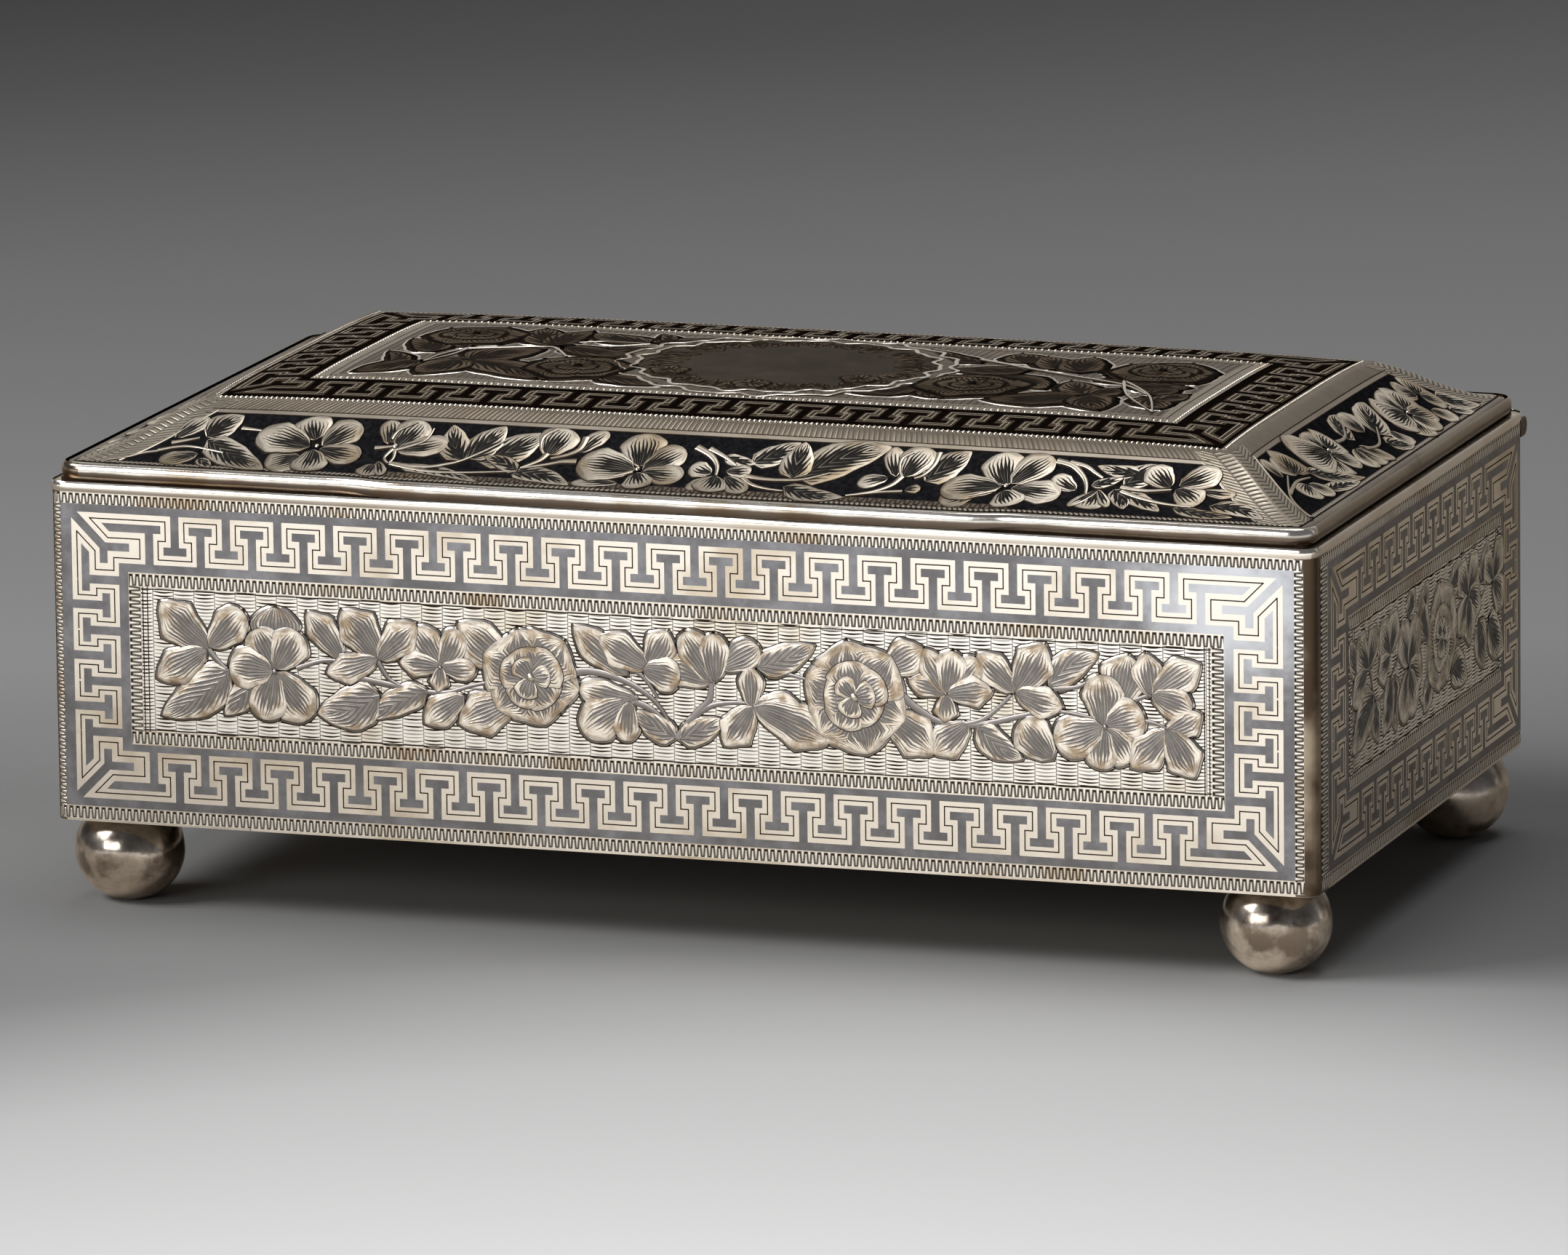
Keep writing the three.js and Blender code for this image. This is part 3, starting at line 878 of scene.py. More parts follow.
# Hatched band with slanting cuts, and a row of bright beads along one edge if asked
def hatched(name, silver, dark, pitch, slant, cut, beads=False, rough=0.34):
    finish = Finish(name)
    along, across = finish.pattern()
    lean = finish.sum("MULTIPLY_ADD", across, slant, along)
    saw = finish.strokes(lean, pitch)
    pick = finish.chance(finish.whole(lean, pitch))
    stroke = finish.times(finish.step(saw, 0.45, 0.95), finish.sum("MULTIPLY_ADD", pick, 0.6, 0.4))
    base = finish.blend(finish.times(stroke, cut), finish.tarnished(silver, "8d7e6a", 10.0), colour(dark))
    relief = finish.minus(1.0, stroke)
    if beads:
        bead = finish.strokes(finish.sum("MULTIPLY_ADD", across, 0.3, along), 0.66)
        off = finish.times(finish.minus(across, 0.09), 9.0)
        away = finish.sum("SQRT", finish.plus(finish.times(off, off), finish.times(bead, bead)))
        near = finish.step(across, 0.2, 0.15)
        light = finish.step(away, 0.75, 0.45)
        base = finish.blend(near, base, finish.blend(light, colour("4a4036"), colour("e0d6c8")))
        relief = finish.plus(relief, light)
    return finish.paint(base, rough, relief, 0.05, dark=finish.times(stroke, cut))


# Two rows of short cuts that lean against each other, between thin lines
def herringbone(name, silver, dark, pitch=0.5):
    finish = Finish(name, roughness=0.3)
    along, across = finish.pattern()
    fold = finish.sum("ABSOLUTE", finish.minus(across, 0.52))
    saw = finish.strokes(finish.sum("MULTIPLY_ADD", fold, 2.2, along), pitch)
    stroke = finish.step(saw, 0.4, 0.85)
    seam = finish.step(fold, 0.045, 0.02)
    rims = finish.step(fold, 0.4, 0.44)
    dark_share = finish.sum("MAXIMUM", finish.times(stroke, 0.85), finish.times(seam, 0.6))
    dark_share = finish.times(dark_share, finish.minus(1.0, finish.times(rims, 0.7)))
    base = finish.blend(dark_share, finish.tarnished(silver, "8d7e6a", 8.0), colour(dark))
    return finish.paint(base, 0.32, finish.minus(1.0, dark_share), 0.06, dark=dark_share)


# A row of round dots on a dark line
def dotted(name, silver, dark, pitch=0.52):
    finish = Finish(name, roughness=0.28)
    along, across = finish.pattern()
    saw = finish.strokes(along, pitch)
    off = finish.times(finish.minus(across, 0.5), 2.0)
    away = finish.sum("SQRT", finish.plus(finish.times(off, off), finish.times(saw, saw)))
    bright = finish.step(away, 0.9, 0.6)
    base = finish.blend(bright, colour(dark), colour(silver))
    return finish.paint(base, 0.28, bright, 0.08, dark=finish.minus(1.0, bright))


# Gilt with tarnish in patches, and painted shade, nearly black, on the outer faces in the seam under the lid
def gilt():
    finish = Finish("gilt rim, tarnished in the seam", roughness=0.28)
    place = finish.tree.nodes.new("ShaderNodeSeparateXYZ")
    finish.tree.links.new(finish.node("ShaderNodeNewGeometry", {}, output=1), place.inputs[0])
    side = finish.step(finish.sum("ABSOLUTE", place.outputs[2]), 0.7, 0.3)
    height = finish.tree.nodes.new("ShaderNodeSeparateXYZ")
    finish.tree.links.new(finish.node("ShaderNodeTexCoord", {}, output=3), height.inputs[0])
    # Painted shade: side faces above the wall's top, in the seam under the lid, go nearly black
    seam = finish.times(side, finish.step(height.outputs[2], WALL_TOP / 1000 - 0.0001, WALL_TOP / 1000))
    base = finish.blend(seam, finish.tarnished("b98c50", "7d5a33", 12.0, (0.45, 0.7), 0.5), colour("2a2019"))
    return finish.paint(base, 0.28, None, dark=seam)


# Ball feet: hammered silver with brown tarnish in patches and fine pits, and painted shade in a dark brown
# ring round the top, under the case
def ball_silver():
    finish = Finish("hammered ball silver with brown tarnish")
    base = finish.tarnished("ece3d7", "4a3526", 5.5, (0.47, 0.62), 0.72)
    clouds = finish.step(finish.noise(2.2, 4.0, 0.65), 0.35, 0.75)
    base = finish.blend(finish.times(clouds, 0.45), base, colour("8b7764"))
    up = finish.pattern()[1]
    # Painted shade: a dark brown ring round the top of the ball, where it sits under the case
    ring = finish.step(finish.sum("MULTIPLY_ADD", finish.noise(2.5), 0.3, up), 0.76, 0.98)
    base = finish.blend(finish.times(ring, 0.62), base, colour("3d2f22"))
    rough = finish.sum("MULTIPLY_ADD", finish.noise(4.0, 3.0), 0.26, 0.06)
    return finish.paint(base, rough, finish.noise(3.2, 3.0), 0.08)


def make_finishes():
    return {
        "line": groove(),
        "wall_plain": plain_silver("plain silver wall", "f0e9de", "ad9872", 0.26, 0.55, (0.48, 0.7)),
        "wall_corner": plain_silver("plain silver corner with brown tarnish", "b3a591", "3f2f22", 0.3, 0.9,
                                    (0.36, 0.56)),
        # Blue-grey niello with a painted highlight near the upper right end of the front wall
        "wall_niello": niello("blue-grey niello inlay", "6b6a6c", "94959a", 0.36, size=7.0,
                              burnished=((65, -43.5, 43), "dfe3ea")),
        "wall_zigzag": zigzag("wriggle-cut silver border", "fffaf0", "32271d"),
        "weave": weave(),
        "wall_blade": blades("niello petal with silver margin", "f3ebdf", "5f5c5d", "453a30", 0.42, 0.75,
                             0.65, "9d8668", mottle=0.25, soft=0.09, patch=1.6, jag=0.26),
        "wall_rose": blades("niello rose petal with silver margin", "f1e8da", "636062", "3c322a", 0.42, 0.82,
                            0.8, "9d8668", mottle=0.25, soft=0.06, patch=1.8, jag=0.2),
        "end_blade": blades("niello petal of the end walls", "f8f3ea", "3f3b37", "2a231d", 0.42, 0.6, 0.85,
                            "a89c86", mottle=0.2, soft=0.1, patch=2.0, matt=0.9, jag=0.2),
        "wall_stem": plain_silver("engraved niello stem", "8f8b8a", "6f665c", 0.3),
        "lid_niello": niello("black niello ground", "0f0f10", "212124", 0.3, metallic=0.0),
        "lid_blade": blades("black-hearted silver petal", "d2c8b9", "0e0e0f", "1c1815", 0.44, 0.66, 0.95,
                            "98866b", rough=0.36, matt=1.0, mottle=0.04, jag=0.34),
        "lid_end_blade": blades("black-hearted petal of the lid's ends", "fbf1e1", "0e0e0f", "1c1815", 0.44,
                                0.62, 0.95, "b09a78", rough=0.36, matt=1.0, mottle=0.04, jag=0.4),
        "lid_stem": plain_silver("silver stem on niello", "c8beaf", "98866b", 0.34),
        "lid_plain": plain_silver("worn silver of the lid", "a79d90", "85775f", 0.36),
        "crease_band": hatched("hatched silver band with beads", "8d8376", "3a3129", 0.6, 0.3, 0.8,
                               beads=True),
        "hip_band": herringbone("herringbone silver band", "bbb1a2", "15100c", 0.78),
        "dots": dotted("row of dots on a dark line", "c9c0b2", "2c2520", 0.6),
        "thumb_zigzag": zigzag("dark zigzag over the thumb lip", "8a7f72", "1f1a16", 1.1),
        "top_key": niello("brown-black silver of the lid key", "382f26", "4d4338", 0.45, metallic=0.0),
        "top_niello": niello("black niello of the lid key", "090604", "120d0a", 0.4, metallic=0.0),
        "top_line": plain_silver("thin bright key line", "d2c8b8", "94846b", 0.34),
        "top_dots": hatched("beaded border of the lid", "b0a698", "2a241f", 0.62, 0.35, 0.95, rough=0.34),
        "lid_bead": plain_silver("small cut beads", "e6dccd", "a8946f", 0.3),
        "top_field": hatched("fine-hatched silver field", "6c6256", "1f1913", 0.9, 0.0, 0.85, rough=0.4),
        "top_blade": blades("dark engraved leaf of the lid", "564b3f", "0d0a08", "070504", 0.62, 0.6, 0.95,
                            "362d24", rough=0.45, matt=0.9, mottle=0.2, soft=0.08, metal=0.06, jag=0.4,
                            rim_line=(0.84, 0.94, 0.95)),
        "top_gap": niello("brown-black cut ground of the lid", "120e0b", "2c251e", 0.45, metallic=0.0),
        "top_edge": plain_silver("bright cut outline", "f6f0e6", "c9b99f", 0.3),
        "top_bare": niello("bare oval cartouche, dulled by wear", "2b251f", "3c342c", 0.35, metallic=0.0,
                           size=9.0, sheen=0.005),
        "foot": ball_silver(),
        "lip_edge": lip_edge("f6f1e9", "b49a70"),
        # The lid's end lips: the lip's silver painted darker, as painted shade on the ends
        "lip_end": plain_silver("duller silver of the lid's end lips", "8f8374", "4a3a2b", 0.2, 0.7,
                                (0.4, 0.6)),
        "lip_side": lip_edge("9a8d7c", "4a3a2b"),
        "lip": plain_silver("polished silver lip", "f6f1e9", "b49a70", 0.16, 0.35),
        "gilt": gilt(),
    }


FINISHES = make_finishes()


# Turns a drawing into a mesh piece that moves with a body of the part
def build(name, sheet, place, body, flip=True, cut=None):
    work = bmesh.new()
    layer = work.loops.layers.uv.new("pattern")
    verts = [work.verts.new(point) for point in sheet.points]
    names = sorted({finish for _, finish, _ in sheet.faces})
    for corners, finish, pattern in sheet.faces:
        face = work.faces.new([verts[i] for i in corners])
        face.material_index = names.index(finish)
        face.smooth = True
        for loop, (u, v) in zip(face.loops, pattern):
            loop[layer].uv = (u, v)
    if cut:
        for axis in (0, 1):
            values = [vert.co[axis] for vert in work.verts]
            for step in range(math.floor(min(values) / cut) + 1, math.ceil(max(values) / cut)):
                point = Vector((step * cut, step * cut, 0))
                normal = Vector((1, 0, 0)) if axis == 0 else Vector((0, 1, 0))
                geometry = work.verts[:] + work.edges[:] + work.faces[:]
                bmesh.ops.bisect_plane(work, geom=geometry, dist=1e-5, plane_co=point, plane_no=normal)
    for vert in work.verts:
        vert.co = Vector(place(*vert.co)) / 1000
    if flip:
        bmesh.ops.reverse_faces(work, faces=work.faces[:])
    mesh = bpy.data.meshes.new(name)
    work.to_mesh(mesh)
    work.free()
    for finish in names:
        mesh.materials.append(FINISHES[finish])
    piece = bpy.data.objects.new(name, mesh)
    bpy.context.scene.collection.objects.link(piece)
    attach(piece, body)
    return piece


# Garlands. Each row is a kind (P petal, F pointed petal, D dark petal, L leaf, B bright leaf, S stem,
# K knob, R rose), its points from base to tip, its width, and its layer above the ground.
# Walls: in millimetres from the left end, and down from the top
FRONT_GARLAND = [
    ("S", [(19.0, 18.2), (20.6, 20.0), (22.6, 21.4), (24.6, 22.0)], 0.7, 1),
    ("S", [(29.8, 20.0), (33.0, 18.9), (36.0, 18.8), (38.6, 18.4)], 0.6, 1),
    ("S", [(36.0, 20.6), (39.4, 21.0), (43.1, 21.5), (47.4, 21.8), (50.8, 20.8), (54.0, 20.0)], 0.8, 1),
    ("S", [(39.4, 18.2), (41.0, 20.6), (43.4, 21.6)], 0.7, 1),
    ("S", [(62.0, 18.9), (64.8, 18.3), (68.4, 18.9), (71.6, 20.4), (73.7, 22.4), (75.3, 25.4)], 0.9, 1),
    ("S", [(65.2, 16.8), (69.0, 17.4), (71.4, 18.6), (73.2, 21.0)], 0.8, 1),
    ("S", [(70.0, 21.4), (72.2, 22.2), (74.4, 24.0), (75.3, 25.5)], 0.8, 1),
    ("S", [(75.4, 25.5), (77.4, 22.8), (79.2, 20.8), (79.6, 18.8), (81.0, 16.4)], 1.0, 1),
    ("S", [(76.6, 23.4), (79.6, 21.4), (83.2, 20.9), (85.0, 21.4)], 0.7, 1),
    ("S", [(85.2, 16.6), (88.0, 17.2), (91.0, 17.8)], 0.7, 1),
    ("S", [(101.4, 18.4), (104.0, 20.5), (107.2, 21.9), (111.4, 21.2), (114.8, 18.2)], 0.9, 1),
    ("S", [(106.8, 21.9), (111.0, 21.8), (115.6, 20.6), (119.6, 19.7), (124.6, 20.3)], 0.8, 1),
    ("S", [(119.8, 17.2), (122.6, 16.8), (124.6, 15.6)], 0.6, 1),
    ("S", [(127.6, 18.6), (129.6, 17.8), (131.2, 17.1)], 0.7, 1),
    ("S", [(129.4, 20.2), (131.4, 20.4), (133.0, 21.0)], 0.6, 1),
    ("F", [(19.3, 18.3), (13.4, 13.2)], 4.7, 2),
    ("P", [(19.2, 18.1), (23.4, 13.7)], 4.1, 3),
    ("F", [(19.0, 18.4), (12.9, 22.0)], 4.0, 4),
    ("L", [(21.8, 20.6), (13.4, 26.3)], 4.6, 2),
    ("L", [(24.4, 21.8), (21.1, 25.8)], 2.8, 3),
    ("D", [(27.3, 19.0), (27.4, 13.1)], 5.6, 1),
    ("P", [(27.2, 20.2), (24.9, 15.7)], 4.5, 3),
    ("P", [(27.3, 20.2), (30.0, 15.7)], 4.5, 4),
    ("P", [(27.2, 20.5), (31.3, 25.7)], 5.0, 5),
    ("P", [(27.1, 20.6), (25.7, 26.1)], 4.5, 6),
    ("P", [(27.0, 20.5), (21.7, 20.1)], 4.8, 7),
    ("K", [(27.2, 20.5)], 1.0, 10),
    ("F", [(35.4, 18.6), (31.2, 13.4)], 3.4, 2),
    ("F", [(39.8, 18.4), (35.4, 13.0)], 4.7, 3),
    ("F", [(39.6, 18.4), (44.3, 14.0)], 4.0, 4),
    ("F", [(39.7, 18.3), (33.5, 20.3)], 3.3, 5),
    ("L", [(39.8, 22.4), (32.3, 25.0)], 4.6, 3),
    ("L", [(45.6, 21.6), (38.2, 25.3)], 2.8, 2),
    ("P", [(47.3, 18.9), (44.2, 14.5)], 3.7, 2),
    ("P", [(47.3, 18.9), (49.4, 14.4)], 3.2, 3),
    ("F", [(47.3, 18.8), (42.3, 18.5)], 2.8, 4),
    ("P", [(47.2, 18.8), (51.4, 18.9)], 2.5, 4),
    ("F", [(47.2, 18.8), (46.8, 21.7)], 2.0, 5),
    ("K", [(47.2, 18.9)], 0.8, 7),
    ("F", [(56.4, 18.8), (49.4, 13.6)], 5.0, 2),
    ("F", [(56.6, 21.8), (49.3, 25.2)], 4.8, 2),
    ("F", [(50.0, 22.0), (45.2, 25.4)], 3.6, 3),
    ("R", [(58.0, 19.4)], 6.1, 3),
    ("F", [(69.6, 18.5), (63.2, 13.2)], 3.6, 2),
    ("F", [(72.2, 17.6), (66.2, 14.2)], 4.0, 3),
    ("F", [(72.0, 17.2), (74.4, 13.2)], 3.8, 4),
    ("P", [(71.4, 17.6), (75.8, 18.6)], 3.9, 5),
    ("P", [(70.8, 21.3), (63.8, 20.3)], 3.2, 2),
    ("P", [(69.8, 21.5), (64.1, 25.3)], 4.8, 3),
    ("P", [(69.8, 21.5), (69.2, 26.1)], 2.9, 4),
    ("L", [(75.2, 25.4), (70.3, 22.7)], 2.7, 2),
    ("L", [(75.6, 25.5), (81.0, 23.0)], 2.6, 2),
    ("F", [(79.6, 18.8), (73.4, 16.8)], 3.6, 2),
    ("P", [(79.6, 18.8), (76.3, 13.2)], 4.0, 3),
    ("P", [(80.0, 18.6), (79.8, 13.2)], 3.6, 4),
    ("D", [(80.6, 17.0), (85.2, 14.4)], 3.6, 3),
    ("L", [(85.0, 16.8), (91.7, 13.9)], 3.0, 3),
    ("F", [(84.2, 21.4), (84.0, 16.6)], 2.8, 3),
    ("F", [(84.2, 21.2), (90.4, 21.2)], 3.4, 2),
    ("F", [(84.4, 21.2), (93.4, 24.9)], 5.0, 3),
    ("F", [(84.4, 21.2), (81.0, 25.9)], 3.9, 4),
    ("F", [(99.8, 16.4), (104.6, 13.5)], 4.2, 2),
    ("F", [(99.6, 21.0), (105.8, 25.4)], 4.8, 2),
    ("R", [(96.4, 19.5)], 6.3, 3),
    ("F", [(107.2, 18.5), (102.8, 17.2)], 2.5, 2),
    ("F", [(107.2, 18.5), (104.6, 13.5)], 3.2, 3),
    ("P", [(107.2, 18.5), (111.0, 14.4)], 3.4, 3),
    ("P", [(107.2, 18.5), (108.0, 13.6)], 3.8, 4),
    ("F", [(107.2, 18.5), (112.6, 17.8)], 3.3, 5),
    ("F", [(107.2, 18.5), (107.0, 21.7)], 2.5, 6),
    ("K", [(107.2, 18.5)], 0.7, 8),
    ("F", [(109.8, 21.8), (105.6, 25.4)], 3.8, 2),
    ("F", [(115.4, 17.8), (110.9, 13.7)], 3.6, 2),
    ("F", [(115.3, 17.8), (118.8, 12.2)], 4.5, 3),
    ("F", [(115.3, 17.7), (120.8, 19.3)], 3.6, 4),
    ("L", [(119.2, 17.0), (124.9, 13.0)], 3.2, 1),
    ("P", [(119.6, 25.2), (116.0, 21.0)], 4.6, 3),
    ("L", [(110.8, 21.8), (116.0, 25.4)], 3.0, 2),
    ("F", [(127.4, 18.6), (128.5, 12.9)], 5.6, 1),
    ("P", [(125.7, 21.2), (125.3, 15.3)], 4.7, 3),
    ("P", [(125.8, 21.0), (130.3, 19.8)], 4.8, 4),
    ("P", [(125.8, 21.3), (128.4, 25.2)], 3.9, 5),
    ("P", [(125.7, 21.4), (125.2, 26.0)], 3.8, 6),
    ("P", [(125.6, 21.2), (119.9, 23.3)], 4.8, 7),
    ("K", [(125.8, 21.2)], 1.0, 10),
    ("F", [(131.3, 17.5), (130.5, 12.6)], 3.6, 3),
    ("F", [(131.2, 17.3), (136.8, 13.5)], 3.9, 4),
    ("P", [(131.2, 17.2), (135.8, 18.8)], 3.6, 5),
    ("F", [(132.8, 21.4), (136.9, 19.1)], 3.1, 5),
    ("F", [(133.2, 21.2), (128.8, 25.6)], 3.9, 6),
    ("F", [(133.0, 21.0), (136.1, 26.3)], 4.1, 7),
]
END_GARLAND = [
    ("S", [(17.6, 17.4), (21.2, 17.6), (22.9, 20.9), (25.7, 21.9), (29.8, 20.2), (33.3, 18.1)], 0.6, 2),
    ("S", [(31.0, 23.6), (36.0, 22.6), (40.0, 24.2), (42.6, 26.6)], 0.6, 1),
    ("S", [(42.6, 26.6), (44.6, 23.0), (47.0, 21.4)], 0.6, 1),
    ("S", [(54.0, 21.0), (58.0, 21.8), (62.0, 20.2), (68.0, 17.8)], 0.6, 1),
    ("L", [(16.8, 17.4), (13.6, 13.4)], 3.2, 1),
    ("F", [(20.7, 17.3), (16.2, 13.6)], 4.8, 3),
    ("F", [(20.9, 17.2), (24.0, 13.2)], 4.2, 4),
    ("F", [(20.2, 17.6), (14.4, 20.4)], 4.2, 5),
    ("L", [(22.8, 20.9), (14.4, 25.9)], 5.2, 6),
    ("L", [(23.6, 21.8), (24.6, 26.6)], 3.4, 4),
    ("F", [(29.4, 17.4), (25.5, 13.6)], 5.0, 3),
    ("F", [(29.6, 17.2), (32.2, 13.0)], 4.4, 4),
    ("F", [(29.2, 17.8), (24.6, 19.4)], 3.6, 5),
    ("L", [(29.8, 20.4), (26.6, 26.2)], 4.2, 3),
    ("L", [(31.4, 20.6), (31.6, 26.8)], 3.6, 2),
    ("P", [(36.8, 20.4), (33.6, 15.2)], 5.0, 3),
    ("P", [(36.8, 20.4), (40.8, 15.6)], 5.0, 4),
    ("P", [(36.8, 20.6), (41.8, 22.6)], 4.8, 5),
    ("P", [(36.6, 20.8), (34.0, 26.4)], 5.2, 6),
    ("P", [(36.9, 20.8), (39.2, 26.2)], 4.8, 7),
    ("K", [(36.8, 20.6)], 1.0, 10),
    ("L", [(40.6, 15.8), (44.8, 12.4)], 3.4, 2),
    ("L", [(36.6, 14.6), (39.4, 12.2)], 3.0, 1),
    ("L", [(44.0, 18.6), (42.2, 13.6)], 3.6, 3),
    ("R", [(50.0, 19.6)], 6.4, 3),
    ("L", [(45.8, 24.0), (42.8, 27.0)], 3.2, 2),
    ("L", [(53.8, 14.8), (58.2, 12.4)], 3.0, 2),
    ("L", [(54.0, 24.4), (60.4, 26.6)], 4.0, 2),
    ("F", [(61.0, 16.8), (57.0, 13.2)], 4.4, 3),
    ("F", [(61.0, 16.8), (65.0, 12.9)], 4.4, 4),
    ("F", [(61.0, 17.0), (66.0, 19.4)], 4.6, 5),
    ("F", [(61.0, 17.2), (56.6, 20.8)], 4.4, 6),
    ("F", [(61.0, 17.4), (61.6, 23.0)], 4.4, 7),
    ("K", [(61.0, 17.0)], 1.0, 10),
    ("L", [(65.6, 21.0), (67.4, 26.8)], 4.6, 3),
    ("L", [(66.6, 16.6), (69.6, 12.6)], 3.4, 2),
    ("F", [(71.2, 17.2), (67.8, 13.8)], 3.8, 4),
    ("F", [(71.2, 17.0), (75.4, 13.2)], 4.4, 5),
    ("F", [(71.2, 17.4), (75.4, 21.0)], 4.4, 6),
    ("K", [(71.2, 17.0)], 0.9, 9),
    ("L", [(69.6, 21.4), (75.6, 26.4)], 4.6, 4),
]
